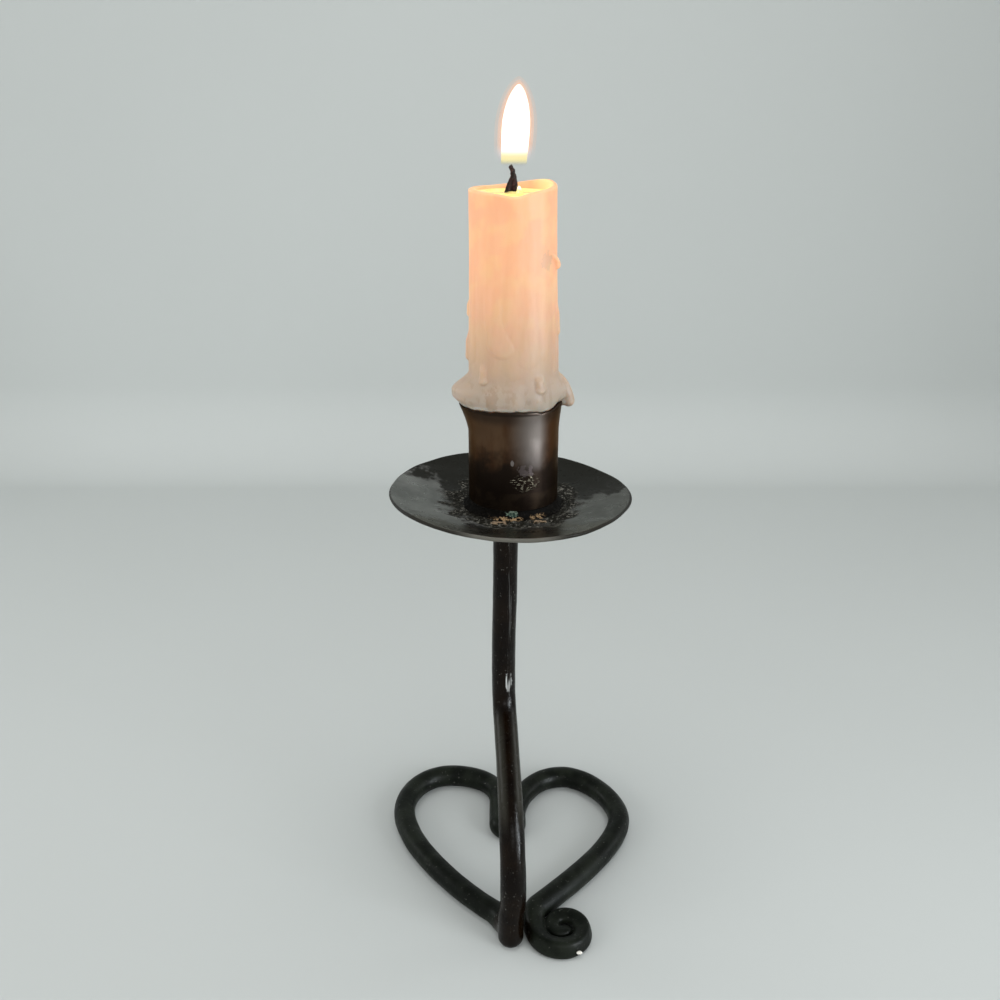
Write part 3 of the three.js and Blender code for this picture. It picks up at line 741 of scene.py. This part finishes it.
def candle():
    """The candle, whose collar of wax sits on the cup's lip and fills its mouth."""
    angles = full_turn(CANDLE_SEGMENTS)
    rings = []

    def add_ring(radius, z):
        rings.append(ring(lean_x(z), radius, angles, z))

    rim = rim_height(angles)
    lip = lip_height(angles) + 0.1
    in_mouth = CUP_RADIUS - CUP_WALL - 0.15
    over_lip = CUP_RADIUS + flare(CUP_LIP, angles) - LIP_SHOWING
    for z in np.linspace(CANDLE_FOOT, CUP_LIP - FLARE_HEIGHT, 12):
        add_ring(CANDLE_RADIUS, z)
    for share in np.linspace(0.1, 1, 8):
        z = lerp(CUP_LIP - FLARE_HEIGHT, lip - 0.9, share)
        add_ring(lerp(CANDLE_RADIUS, in_mouth, share) + flare(z, angles), z)
    add_ring(over_lip - LIP_WALL, lip)
    add_ring(over_lip, lip + 0.05)
    for share in np.linspace(0.006, 0.993, 220):
        z = lerp(lip, rim, share)
        clear_of_lip = smoothstep(z, lip, lip + 1.3)
        add_ring(lerp(over_lip, wax_radius(z, angles), clear_of_lip), z)
    add_ring(wax_radius(CANDLE_TOP, angles) - RIM_ROUND, rim)
    add_ring(POOL_RADIUS + 0.3, rim - 0.05)
    add_ring(POOL_RADIUS, rim - 0.3)
    add_ring(POOL_RADIUS - POOL_SLOPE, RECESS_FLOOR)
    add_ring(WICK_DIAMETER / 2 + SEAT_GAP, RECESS_FLOOR)
    piece = fused("candle_wax", [skin(rings), *hanging_drip(), side_flap()], voxel=0.28, smoothing=2)
    points = points_of(piece)
    above = smoothstep(points[:, 2], CUP_LIP + 1, CUP_LIP + 3)
    low = 1 - smoothstep(points[:, 2], CUP_LIP + 4, CUP_LIP + 14)
    push_out(piece, above * lumps(points, (0.05, 6, 2.8), (0.03 + 0.05 * low, 2.2, 5.1)))
    return piece


def hanging_drip():
    """The tongue of wax that ran over the lip at the right and hangs beside the cup, with its root."""

    def at(radius, above_lip):
        return (CUP_X + radius * np.cos(DRIP_ANGLE), radius * np.sin(DRIP_ANGLE), CUP_LIP + above_lip)

    tongue = pulled(at(11, 8), at(13.6, 7), at(15.6, 4), at(16.5, 0.3))
    root = pulled(at(10.8, 6.5), at(12.6, 5.5), at(13.8, 3.2), at(14.7, 0.8))
    return [rod(tongue, 2.2, 1.85), rod(root, 2.0, 2.0)]


def side_flap():
    """A small curl of wax that stands out at the right, a third of the way down."""
    curl = pulled((8.0, -8.2, 213.6), (10.4, -5.7, 212.2), (11.6, -3.9, 210.8), (11.8, -3.0, 208.8))
    return rod(curl, 0.6, 1.15)


def melt_pool():
    """Liquid wax that climbs a little up the recess's wall and up the wick, with a bead at the wick."""
    wall, core = POOL_RADIUS - POOL_SLOPE + 0.7, 0.4
    across = np.linspace(0, 1, 32)
    climb = 0.5 * np.exp(-((1 - across) / 0.07) ** 2) + 0.3 * np.exp(-(across / 0.12) ** 2)
    top = [(lerp(core, wall, s), POOL_TOP + c) for s, c in zip(across[::-1], climb[::-1])]
    profile = [(core, RECESS_FLOOR + 0.1), (wall - 0.6, RECESS_FLOOR + 0.1), *top]
    rings = turned_rings(profile, POOL_SEGMENTS, CANDLE_TOP_X)
    piece = make_object("liquid_wax_pool", *skin(rings, looped=True))
    points = points_of(piece)
    off = np.hypot(points[:, 0] - BEAD_X, points[:, 1] - BEAD_Y) / BEAD_RADIUS
    bead = BEAD_HEIGHT * np.sqrt(np.clip(1 - off**2, 0, None))
    points[:, 2] += bead * (points[:, 2] > POOL_TOP - 0.1)
    set_points(piece, points)
    return piece


def wick():
    """Charred cotton of three strands, which curls over to the left, and one strand that has come loose."""

    def at(x, y, above_pool):
        return (x, y, POOL_TOP + above_pool)

    curve = pulled(at(-0.2, 1, -4), at(-0.1, 1, 3), at(-0.4, 0.4, 4.6), at(-1.25, 0.1, WICK_HEIGHT - 0.5))
    centre = stations([(curve, (1.0, 0.65), ROUND)])
    length = np.linspace(0, 1, len(centre))
    strands = []
    for strand in range(3):
        phase = 2 * np.pi * (strand / 3 + length * 1.6)
        rows = centre.copy()
        thin = rows[:, 3]
        rows[:, 0] += 0.42 * thin * np.cos(phase)
        rows[:, 1] += 0.42 * thin * np.sin(phase)
        rows[:, 3] = 0.66 * thin
        strands.append(tube(rows, (0, 1, 0)))
    loose = pulled(at(-2.3, 0.8, -1), at(-2.0, 0.7, 1.6), at(-1.4, 0.5, 2.8), at(-0.8, 0.2, 4.6))
    curl = pulled(at(-1.1, 0.1, WICK_HEIGHT - 1.3), at(-1.9, 0.1, WICK_HEIGHT - 1.1),
                  at(-1.8, 0.1, WICK_HEIGHT), at(-1.15, 0.1, WICK_HEIGHT - 0.1))
    strands += [rod(loose, 0.95, 0.45), rod(curl, 0.4, 0.3)]
    piece = fused("charred_wick_braid", strands, voxel=0.1, smoothing=2)
    push_out(piece, 0.12 * noise_at(points_of(piece), 0.8, 4.2))
    return piece


def flame_shell(name, mantle):
    """The flame's skin, moved out by a mantle's thickness. It is broadest low down and pointed on top."""
    height = FLAME_HEIGHT + 2 * mantle
    shares = 1 - (1 - np.linspace(0, 1, 60)) ** 1.6
    above = np.clip((shares - FLAME_BELLY) / (1 - FLAME_BELLY), 0, 1)
    widths = (1 - above**2) ** 0.66 * lerp(0.93, 1, smoothstep(shares, 0, FLAME_BELLY))
    profile = [(w * (FLAME_WIDTH / 2 + mantle) + 0.02, share * height) for w, share in zip(widths, shares)]
    rings = turned_rings(profile, FLAME_SEGMENTS)
    share = rings[:, :, 2] / height
    rings[:, :, 0] += FLAME_X + FLAME_LEAN * share + FLAME_CURL * share**4
    rings[:, :, 2] += WICK_TIP - mantle
    return make_object(name, *skin(rings))


FLECK_TURN = radians(-64)
FLECK_HALF_SIZES = np.array([0.95, 0.6, 0.5])


def wax_fleck():
    """A fleck of white wax that fell on the scroll's outer side."""
    reach = SCROLL_RADIUS + SCROLL_BAR_WIDTH / 2 - 0.25
    middle = ring(SCROLL_X, reach, FLECK_TURN, 2.7, SCROLL_Y)
    rings = turned_rings([(np.cos(b), np.sin(b)) for b in radians(np.linspace(-84, 84, 13))], 24)
    piece = make_object("wax_fleck", *skin(rings * FLECK_HALF_SIZES + middle))
    push_out(piece, 0.1 * noise_at(points_of(piece), 0.7, 2.4))
    return piece


# Materials. A Value is what a shader node gives, and sums and products of values add more nodes.

class Value:
    def __init__(self, socket):
        self.socket = socket
        self.tree = socket.id_data

    def math(self, operation, other=0.0):
        return add(self.tree, "Math", {0: self, 1: other}, operation=operation)

    def __add__(self, other):
        return self.math("ADD", other)

    def __sub__(self, other):
        return self.math("SUBTRACT", other)

    def __mul__(self, other):
        return self.math("MULTIPLY", other)

    def either(self, other):
        return self.math("MAXIMUM", other)

    def spread(self, low, high, to_low=0.0, to_high=1.0):
        """Maps low..high smoothly to to_low..to_high, held at both ends."""
        inputs = {"Value": self, "From Min": low, "From Max": high, "To Min": to_low, "To Max": to_high}
        return add(self.tree, "MapRange", inputs, interpolation_type="SMOOTHSTEP")


def connect(value, socket):
    """Links a value to a node's input, or sets a fixed number or colour on it."""
    if isinstance(value, Value):
        value.tree.links.new(value.socket, socket)
    elif socket.type == "RGBA":
        socket.default_value = (*value, 1)
    else:
        socket.default_value = value


def feed(node, **inputs):
    for name, value in inputs.items():
        connect(value, node.inputs[name.replace("_", " ")])


def add(tree, kind, inputs=(), output=0, **settings):
    """One output of a new node, whose inputs are given by name or by number."""
    node = tree.nodes.new("ShaderNode" + kind)
    for name, value in settings.items():
        setattr(node, name, value)
    for name, value in dict(inputs).items():
        connect(value, node.inputs[name])
    return Value(node.outputs[output])


def new_material(name, **fixed):
    """A material, its nodes and its Principled shader, on which all that is even is set."""
    material = bpy.data.materials.new(name)
    material.use_nodes = True
    tree = material.node_tree
    shader = tree.nodes["Principled BSDF"]
    feed(shader, **fixed)
    return material, tree, shader


def mix(share, first, second):
    """The first colour where the share is 0, and the second where it is 1."""
    return add(share.tree, "Mix", {0: share, 6: first, 7: second}, 2, data_type="RGBA")


def layered(colour, *layers):
    """A colour with others laid over it, each with its share."""
    for share, over in layers:
        colour = mix(share, colour, over)
    return colour


def own_place(tree):
    """Where a point lies on the model's own axes, in millimetres."""
    place = add(tree, "TexCoord", output="Object")
    inputs = {0: place, 1: [1 / MM] * 3, 2: tuple(-FRAME_SHIFT)}
    return add(tree, "VectorMath", inputs, operation="MULTIPLY_ADD")


def own_axes(tree):
    point = own_place(tree)
    return [add(tree, "SeparateXYZ", {"Vector": point}, axis) for axis in "XYZ"]


def away_from(tree, centre, half_sizes):
    """Distance from a centre, as 1 where a half size ends. A half size of 0 leaves its axis out."""
    scale = tuple(1 / size if size else 0 for size in half_sizes)
    shift = add(tree, "VectorMath", {0: own_place(tree), 1: centre}, operation="SUBTRACT")
    scaled = add(tree, "VectorMath", {0: shift, 1: scale}, operation="MULTIPLY")
    return add(tree, "VectorMath", {0: scaled}, "Value", operation="LENGTH")


def from_axis(tree, x, y=0.0):
    """Distance from an upright axis, in millimetres."""
    return away_from(tree, (x, y, 0), (1, 1, 0))


def grain(tree, size, detail=3.0, stretch=(1, 1, 1), roughness=0.55):
    """Noise with features of about size millimetres, stretched along an axis by that factor."""
    scale = [1 / (size * MM * s) for s in stretch]
    place = add(tree, "TexCoord", output="Object")
    mapped = add(tree, "Mapping", {"Vector": place, "Scale": scale})
    return add(tree, "TexNoise", {"Vector": mapped, "Scale": 1.0, "Detail": detail, "Roughness": roughness})


def uneven(tree, size, low, high, detail=3.0, stretch=(1, 1, 1)):
    """Noise that varies between two levels."""
    return grain(tree, size, detail, stretch).spread(0.3, 0.7, low, high)


def patch(tree, mark, ragged=0.25):
    """1 inside an oval mark on the front of the object and 0 outside, with a ragged edge."""
    x, z, half_width, half_height = mark
    wander = uneven(tree, min(half_width, half_height), -ragged, ragged, 4)
    away = away_from(tree, (x, 0, z), (half_width, 0, half_height)) + wander
    y = own_axes(tree)[1]
    return away.spread(1.15, 0.8) * y.spread(-1, -3)


def spill(tree, mark):
    """The same for an oval mark seen from above."""
    x, y, half_width, half_length = mark
    away = away_from(tree, (x, y, 0), (half_width, half_length, 0)) + uneven(tree, 1.5, -0.4, 0.4)
    return away.spread(1.1, 0.9)


def roughen(shader, *layers):
    """Bumps, each a height and its depth in millimetres, one over the other."""
    below = {}
    for height, depth in layers:
        inputs = {"Height": height, "Distance": depth * MM, "Strength": 1.0, **below}
        below = {"Normal": add(height.tree, "Bump", inputs)}
    feed(shader, **below)


# The grey of the painted highlights on the stem, and the marks that the photo shows: each has its middle,
# across and up, half its width and half its height. The marks on the pan are seen from above, so their middle
# is across and back.

HIGHLIGHT_GREY = (0.48, 0.49, 0.48)
# Painted highlights on the stem, drawn as fine vertical scratches: a faint streak up the straight part, and a
# bright one just above the upper bend.
STEM_HIGHLIGHT_STREAK = (-1.2, 96, 0.6, 30)
STEM_HIGHLIGHT_SPOT = (-1.5, 72.7, 1.1, 3.4)
PAN_BRASS = [(-4.6, -16.8, 2.6, 1.4), (6.9, -15.8, 2.1, 1.3)]
CUP_SMUDGE = (2.7, CUP_FOOT + 14.7, 2.1, 1.5)
# A small pale spot on the front of the cup.
CUP_PALE_SPOT = (-0.7, CUP_FOOT + 17.4, 0.5, 0.9)
CUP_CRUMBS = (2.9, CUP_FOOT + 11.2, 4.2, 2.6)
BRAZE_BRASS = [
    (-4.0, PAN_FLOOR + 0.1, 3.1, 0.7), (6.6, PAN_FLOOR + 0.2, 2.6, 0.9), (0.8, PAN_FLOOR + 0.3, 1.6, 0.5),
]
VERDIGRIS = (-0.6, PAN_FLOOR + 1.8, 1.8, 0.9)
COLLAR_FOLD_SHADE = (-6.4, CUP_LIP + 3.4, 1.8, 3.4)
FLAP_SHADOW = (8.6, CANDLE_TOP - 19, 1.5, 2.6)


def forged_steel():
    """Steel blackened by the fire: greenish and dull on the heart, browner and glossier up the stem, with
    painted reflections on the sides of the ramp and painted highlights on the stem.
    """
    material, tree, shader = new_material("forged_steel_worked", Specular_IOR_Level=0.12)
    z = own_axes(tree)[2]
    up_stem = from_axis(tree, FOOT_X, FOOT_Y).spread(8, 5).either(z.spread(8, 14))
    blotches = grain(tree, 9).spread(0.38, 0.66)
    heart = mix(blotches, (0.0025, 0.0036, 0.0022), (0.010, 0.0125, 0.0085))
    stem = mix(blotches, (0.0024, 0.0010, 0.0004), (0.0062, 0.0032, 0.0014))
    specks = grain(tree, 0.9, 4).spread(0.64, 0.74)
    scratches = grain(tree, 0.4, 2, (1, 1, 30)).spread(0.46, 0.6)
    colour = layered(
        mix(up_stem, heart, stem),
        (specks, (0.09, 0.09, 0.08)),
        # Painted reflection: lighter bands on both sides of the leaning part of the stem.
        (ramp_side_reflections(tree), (0.025, 0.0235, 0.018)),
        # Painted highlights on the stem, as fine vertical scratches in a light grey.
        (patch(tree, STEM_HIGHLIGHT_STREAK, 0.2) * 0.1 * scratches, HIGHLIGHT_GREY),
        (patch(tree, STEM_HIGHLIGHT_SPOT, 0.2) * scratches, HIGHLIGHT_GREY))
    dull = uneven(tree, 5, 0.30, 0.50)
    glossy = uneven(tree, 3, 0.16, 0.30, 3, (1, 1, 4))
    feed(shader, Base_Color=colour, Roughness=dull + (glossy - dull) * up_stem)
    roughen(shader, (grain(tree, 3.2, 4), 0.16), (grain(tree, 0.6, 3, (1, 1, 2)), 0.05))
    return material


def ramp_side_reflections(tree):
    """1 on the two sides of the leaning part of the stem, where a painted reflection lightens them, and 0
    along the middle of its face.
    """
    x, y, z = own_axes(tree)
    slope = (KNEE_X - STEM_TOP_X) / FOOT_Y
    aside = (x - y * slope - STEM_TOP_X).math("ABSOLUTE")
    return aside.spread(0.5, 2.6) * z.spread(65, 58) * z.spread(38, 47)


def pan_steel():
    """Grey, lightly polished sheet with a dark crust of scale round the cup, and a painted dark reflection at
    the back.
    """
    material, tree, shader = new_material(
        "pan_steel_worked", Specular_IOR_Level=0.03, Specular_Tint=(0.7, 0.7, 0.68))
    x, y, _ = own_axes(tree)
    across = x - PAN_X
    radius = from_axis(tree, PAN_X)
    wander = uneven(tree, 7, -1, 1, 4) * 3.5
    brim = (radius + wander).spread(SCALE_EDGE - 3, SCALE_EDGE + 1)
    wavy_depth = y + wander * 1.5
    # Painted dark reflection over the back of the brim; it starts further back at the left.
    back = (wavy_depth + across.spread(-18, -27, 0, -13)).spread(0.5, 6.5, 0, 0.97)
    steel = layered(
        mix(grain(tree, 12, 4).spread(0.35, 0.7), (0.18, 0.182, 0.176), (0.29, 0.29, 0.28)),
        # Painted reflection: the brim is painted darker towards the right.
        (across.spread(-12, 14, 0, 0.6), (0.08, 0.08, 0.072)),
        (back, (0.014, 0.014, 0.011)),
        (wavy_depth.spread(-17, -27, 0, 0.75), (0.12, 0.11, 0.085)))
    flakes = grain(tree, 1.0, 5, roughness=0.7).spread(0.54, 0.59)
    flakes = flakes * grain(tree, 5, 3).spread(0.4, 0.6, 0.3, 1)
    left, right = (spill(tree, mark) for mark in PAN_BRASS)
    brass = left.either(right) * grain(tree, 1.0, 4).spread(0.45, 0.52)
    scale = mix(flakes, (0.014, 0.013, 0.010), (0.24, 0.23, 0.20))
    scale = mix(brass, scale, (0.32, 0.23, 0.15))
    # The sheet's edge is dark, with a painted highlight along the middle of its front.
    edge = radius.spread(PAN_RADIUS - 0.8, PAN_RADIUS - 0.3, 0, 0.9)
    rim_highlight = across.math("ABSOLUTE").spread(17, 8) * y.spread(0, -9)
    edge_colour = mix(rim_highlight, (0.014, 0.013, 0.011), (0.12, 0.115, 0.10))
    colour = mix(edge, mix(brim, scale, steel), edge_colour)
    polished = brim * back.spread(0, 1, 0.95, 0.03) * edge.spread(0, 0.9, 1, 0)
    rough = uneven(tree, 4, 0.24, 0.38, 4) + brim.spread(0, 1, 0.22, 0)
    feed(shader, Base_Color=colour, Metallic=polished, Roughness=rough)
    pits = grain(tree, 0.9, 5) * brim.spread(0, 1, 1, 0.06)
    roughen(shader, (pits, 0.5), (grain(tree, 2.6, 3), 0.04))
    return material


def cup_steel():
    """Tube browned by heat, black at the foot, with a painted grey sheen band, painted shade under the lip
    and crumbs of wax at the front.
    """
    material, tree, shader = new_material("cup_steel_worked", Metallic=0.9, Specular_Tint=(0.6, 0.5, 0.42))
    x, y, z = own_axes(tree)
    above_foot = z - CUP_FOOT
    above_lip = z - CUP_LIP
    tint = grain(tree, 6, 3, (1, 1, 3)).spread(0.38, 0.62)
    brown = mix(tint, (0.070, 0.032, 0.015), (0.105, 0.060, 0.034))
    # A painted sheen band, grey to lilac, on the front just right of the middle, which the blackened foot
    # leaves clear.
    sheen_band = y.spread(-3, -9) * x.spread(CUP_X - 3, CUP_X + 5) * x.spread(CUP_X + 11, CUP_X + 7)
    painted_sheen = mix(above_foot.spread(14.4, 26.4), (0.085, 0.072, 0.066), (0.165, 0.141, 0.127))
    sheen_over_foot = sheen_band * above_foot.spread(12.4, 18.4, 0, 0.85)
    burnt = (above_foot + uneven(tree, 5, -2.5, 2.5)).spread(22.4, 14.4) * sheen_over_foot.spread(0, 1, 1, 0)
    crumbs = patch(tree, CUP_CRUMBS, 0.1) * grain(tree, 0.55, 4, (1.8, 1, 0.7)).spread(0.54, 0.6)
    colour = layered(
        brown,
        (sheen_band, painted_sheen),
        (burnt, (0.018, 0.012, 0.009)),
        (above_foot.spread(8, 7.5, 0, 0.7) * grain(tree, 4, 3).spread(0.4, 0.6), (0.034, 0.023, 0.015)),
        # Painted shade under the flared lip, fainter over the sheen band, and a darker band at the lip's very
        # edge.
        (above_lip.spread(-5, -1.5, 0, 0.75) * sheen_band.spread(0, 1, 1, 0.3), (0.03, 0.02, 0.015)),
        (above_lip.spread(-1.1, -0.5, 0, 0.85), (0.022, 0.015, 0.011)),
        (patch(tree, CUP_SMUDGE, 0.6) * 0.6, (0.13, 0.105, 0.105)),
        (patch(tree, CUP_PALE_SPOT, 0.1), (0.22, 0.19, 0.18)),
        (crumbs, (0.30, 0.27, 0.20)))
    feed(shader, Base_Color=colour, Roughness=uneven(tree, 3, 0.34, 0.42, 4))
    roughen(shader, (crumbs, 0.25), (grain(tree, 5, 2, (1, 1, 2)), 0.03), (grain(tree, 0.7, 4), 0.02))
    return material


def braze_metal():
    """Dark flux and scale over brass that shows at the front, with one green spot of verdigris."""
    material, tree, shader = new_material("braze_worked", Roughness=0.6, Specular_IOR_Level=0.04)
    dark = mix(grain(tree, 1.2, 4).spread(0.52, 0.7), (0.003, 0.0025, 0.002), (0.013, 0.011, 0.009))
    left, right, middle = (patch(tree, mark, 0.4) for mark in BRAZE_BRASS)
    brass = left.either(right).either(middle) * grain(tree, 1.3, 4).spread(0.42, 0.54)
    green = mix(grain(tree, 0.6, 3).spread(0.42, 0.58), (0.025, 0.045, 0.035), (0.17, 0.22, 0.17))
    colour = layered(dark, (brass, (0.30, 0.20, 0.11)), (patch(tree, VERDIGRIS, 0.35), green))
    feed(shader, Base_Color=colour)
    roughen(shader, (grain(tree, 0.8, 4), 0.2))
    return material


def wax():
    """Ivory wax with a painted glow for the flame's light through it, from the top down, painted yellow on
    the inner edge of the rim.
    """
    material, tree, shader = new_material(
        "wax_worked", Roughness=0.5, Specular_IOR_Level=0.35, Subsurface_Weight=0.8,
        Subsurface_Scale=7 * MM, Subsurface_Radius=(1.0, 0.6, 0.4))
    x, y, z = own_axes(tree)
    cloud = grain(tree, 4, 3, (1, 1, 4)).spread(0.35, 0.65)
    collar = z.spread(CUP_LIP + 13, CUP_LIP + 4)
    veins = grain(tree, 2.2, 2, (1, 1, 1.5)).spread(0.5, 0.6, 0, 0.4)
    colour = layered(
        mix(cloud, (0.39, 0.31, 0.232), (0.425, 0.34, 0.258)),
        (collar, (0.39, 0.325, 0.265)),
        (veins * collar, (0.31, 0.235, 0.165)),
        # Painted shade in a fold of the collar.
        (patch(tree, COLLAR_FOLD_SHADE, 0.5) * 0.4, (0.26, 0.18, 0.12)))
    # Painted glow: the wax emits light as if lit through by the flame, most at the top and yellowest on the
    # inner edge of the rim at the front and right.
    at_right = x.spread(CANDLE_TOP_X + 5, CANDLE_TOP_X + 10, 0, 0.65)
    painted_rim_glow = from_axis(tree, CANDLE_TOP_X).spread(11.7, 11.0) * y.spread(-2, -6).either(at_right)
    fire = mix(grain(tree, 9, 2).spread(0.42, 0.6), (1.0, 0.31, 0.07), (1.0, 0.40, 0.09))
    fire = mix(painted_rim_glow, fire, (1.0, 0.80, 0.22))
    lit_through = z.spread(CUP_LIP - 2.2, CANDLE_TOP - 15.6)
    # Painted shadow of the wax curl: the glow is dimmed below it.
    shaded = patch(tree, FLAP_SHADOW, 0.3).spread(0, 1, 1, 0.72)
    strength = lit_through * painted_rim_glow.spread(0, 1, 0.58, 0.8) * shaded
    feed(shader, Base_Color=colour, Emission_Color=fire, Emission_Strength=strength)
    roughen(shader, (grain(tree, 2.5, 4, (1, 1, 2)), 0.06), (grain(tree, 0.7, 2), 0.02))
    return material


def cold_wax():
    material, tree, shader = new_material("cold_wax", Roughness=0.35)
    cloud = grain(tree, 0.8, 2).spread(0.35, 0.65)
    feed(shader, Base_Color=mix(cloud, (0.72, 0.69, 0.62), (0.85, 0.83, 0.78)))
    roughen(shader, (grain(tree, 0.5, 2), 0.05))
    return material


def liquid_wax():
    """Clear hot wax with a painted yellow glow for the flame's light, and a paler painted highlight on its
    bead.
    """
    material, tree, shader = new_material("liquid_wax_worked", Roughness=0.06, Coat_Weight=0.6)
    # Painted highlight on the bead: paler, and glowing more.
    bead = own_axes(tree)[2].spread(POOL_TOP + 0.4, POOL_TOP + 1.2)
    colour = mix(uneven(tree, 3, 0, 1), (0.85, 0.66, 0.20), (0.90, 0.76, 0.30))
    colour = mix(bead, colour, (0.95, 0.90, 0.66))
    strength = bead.spread(0, 1, 0.45, 0.65)
    feed(shader, Base_Color=colour, Emission_Color=colour, Emission_Strength=strength)
    return material


def charred_cotton():
    material, tree, shader = new_material("charred_cotton", Roughness=0.9)
    char = grain(tree, 0.8, 4).spread(0.4, 0.65)
    feed(shader, Base_Color=mix(char, (0.006, 0.002, 0.003), (0.032, 0.008, 0.011)))
    roughen(shader, (grain(tree, 0.4, 3), 0.1))
    return material


def flame_light(name, foot_colour, colour, strength, cover, low, high):
    """Fire with one colour at its foot and another above. Cover is how much of what lies behind it is
    hidden, and it thins out to nothing from high down to low, in millimetres above the wick's tip."""
    material, tree, shader = new_material(name)
    tree.nodes.remove(shader)
    above_wick = own_axes(tree)[2] - WICK_TIP
    rise = above_wick.spread(1.8, 5.6)
    fire = {"Color": mix(rise, foot_colour, colour), "Strength": rise.spread(0, 1, 1, strength)}
    no_shadow = add(tree, "LightPath", output="Is Shadow Ray").math("LESS_THAN", 0.5)
    shows = above_wick.spread(low, high, 0, cover) * no_shadow
    layers = {0: shows, 1: add(tree, "BsdfTransparent"), 2: add(tree, "Emission", fire)}
    feed(tree.nodes["Material Output"], Surface=add(tree, "MixShader", layers))
    return material


def studio_paint():
    material, tree, shader = new_material("studio_paint", Roughness=0.9)
    cloud = uneven(tree, 400, 0, 1, 2)
    feed(shader, Base_Color=mix(cloud, (0.52865, 0.5529, 0.5432), (0.545, 0.57, 0.56)))
    return material


# Studio

def make_studio():
    """A pale floor that curves up into a pale wall behind the object."""
    wall_y, rise_radius, wall_top, half_width, front = 430, 60, 440, 3000, -3000
    turn = radians(np.linspace(0, 90, 25))
    rise = zip(wall_y - rise_radius + rise_radius * np.sin(turn), rise_radius * (1 - np.cos(turn)))
    section = [(front, 0), *rise, (wall_y, wall_top)]
    vertices = [(x, y, z) for y, z in section for x in (-half_width, half_width)]
    faces = [(2 * i, 2 * i + 1, 2 * i + 3, 2 * i + 2) for i in range(len(section) - 1)]
    floor = make_object("studio_floor", vertices, faces)
    floor.data.materials.append(studio_paint())


def area_light(name, at, towards, size, power, colour, beam=180, in_reflections=True, on_matt=True):
    lamp = bpy.data.lights.new(name, "AREA")
    lamp.shape = "RECTANGLE"
    lamp.size, lamp.size_y = size[0] * MM, size[1] * MM
    lamp.energy = power
    lamp.spread = radians(beam)
    lamp.color = colour
    light = new_object(name, lamp)
    light.location = to_frame(at)
    aim = Vector(to_frame(towards)) - light.location
    light.rotation_euler = aim.to_track_quat("-Z", "Y").to_euler()
    light.visible_camera = False
    light.visible_glossy = in_reflections
    light.visible_diffuse = on_matt


def make_world():
    """Pale round the horizon, as the wall is, and dim overhead."""
    world = bpy.data.worlds.new("studio_world")
    world.use_nodes = True
    tree = world.node_tree
    up = add(tree, "SeparateXYZ", {"Vector": add(tree, "TexCoord", output="Generated")}, "Z")
    colour = mix(up.spread(0.45, 0.75), (0.58, 0.60, 0.59), (0.34, 0.35, 0.34))
    feed(tree.nodes["Background"], Color=colour)
    bpy.context.scene.world = world


WHITE = (1.0, 1.0, 1.0)
DAYLIGHT = (0.94, 0.97, 1.0)
BLUE_DAYLIGHT = (0.86, 0.94, 1.0)
PALE_DAYLIGHT = (0.96, 0.99, 1.0)
NARROW_BEAM = 110


def make_lights():
    area_light("window", (440, -350, 240), (0, 0, 110), (230, 320), 0.55, DAYLIGHT, NARROW_BEAM)
    area_light("bright_pane", (480, -270, 200), (0, 0, 90), (30, 360), 1.1, BLUE_DAYLIGHT, NARROW_BEAM,
               on_matt=False)
    area_light("overhead", (0, -60, 900), (0, 0, 60), (800, 800), 3.0, WHITE, in_reflections=False)
    for name, x in (("left_side", -700), ("right_side", 700)):
        area_light(name, (x, 190, 270), (0, 0, 60), (300, 300), 0.24, PALE_DAYLIGHT, NARROW_BEAM)
    area_light("fill", (-600, -420, 260), (0, 0, 150), (500, 500), 2.1, WHITE, in_reflections=False)
    area_light("lamp_by_camera", (60, -500, 330), (0, 0, 60), (200, 120), 0.25, WHITE)


# The whole scene. A mantle of the flame has its thickness and its cover.

FLAME_MANTLES = [(0.45, 0.45), (1.1, 0.25), (2.0, 0.1)]

bpy.context.scene.view_settings.view_transform = "Standard"
make_camera()
make_studio()
make_lights()
make_world()

dress(forged_bar(), forged_steel(), "forged_steel", "holder", "forged_bar")
dress(drip_pan(), pan_steel(), "pan_steel", "holder", "drip_pan")
dress(candle_cup(), cup_steel(), "cup_steel", "holder", "candle_cup")
dress(braze_bead(), braze_metal(), "braze", "holder", "braze_bead")
dress(wax_fleck(), cold_wax(), "wax", "holder")
dress(candle(), wax(), "wax", "candle", "candle")
dress(melt_pool(), liquid_wax(), "liquid_wax", "candle", "melt_pool")
dress(wick(), charred_cotton(), "charred_wick", "candle", "wick")
fire = flame_light("fire", (1.0, 0.89, 0.40), (1.0, 0.96, 0.86), 4, 1.0, -0.1, 2.4)
dress(flame_shell("flame_core", 0), fire, "flame", "candle", "flame")
for number, (thickness, cover) in enumerate(FLAME_MANTLES):
    mantle = flame_shell(f"flame_mantle_{number}", thickness)
    glow = flame_light(f"mantle_glow_{number}", (1.0, 0.80, 0.80), (1.0, 0.62, 0.44), 1.0, cover, 0.5, 6)
    dress(mantle, glow, "flame", "candle", "flame")
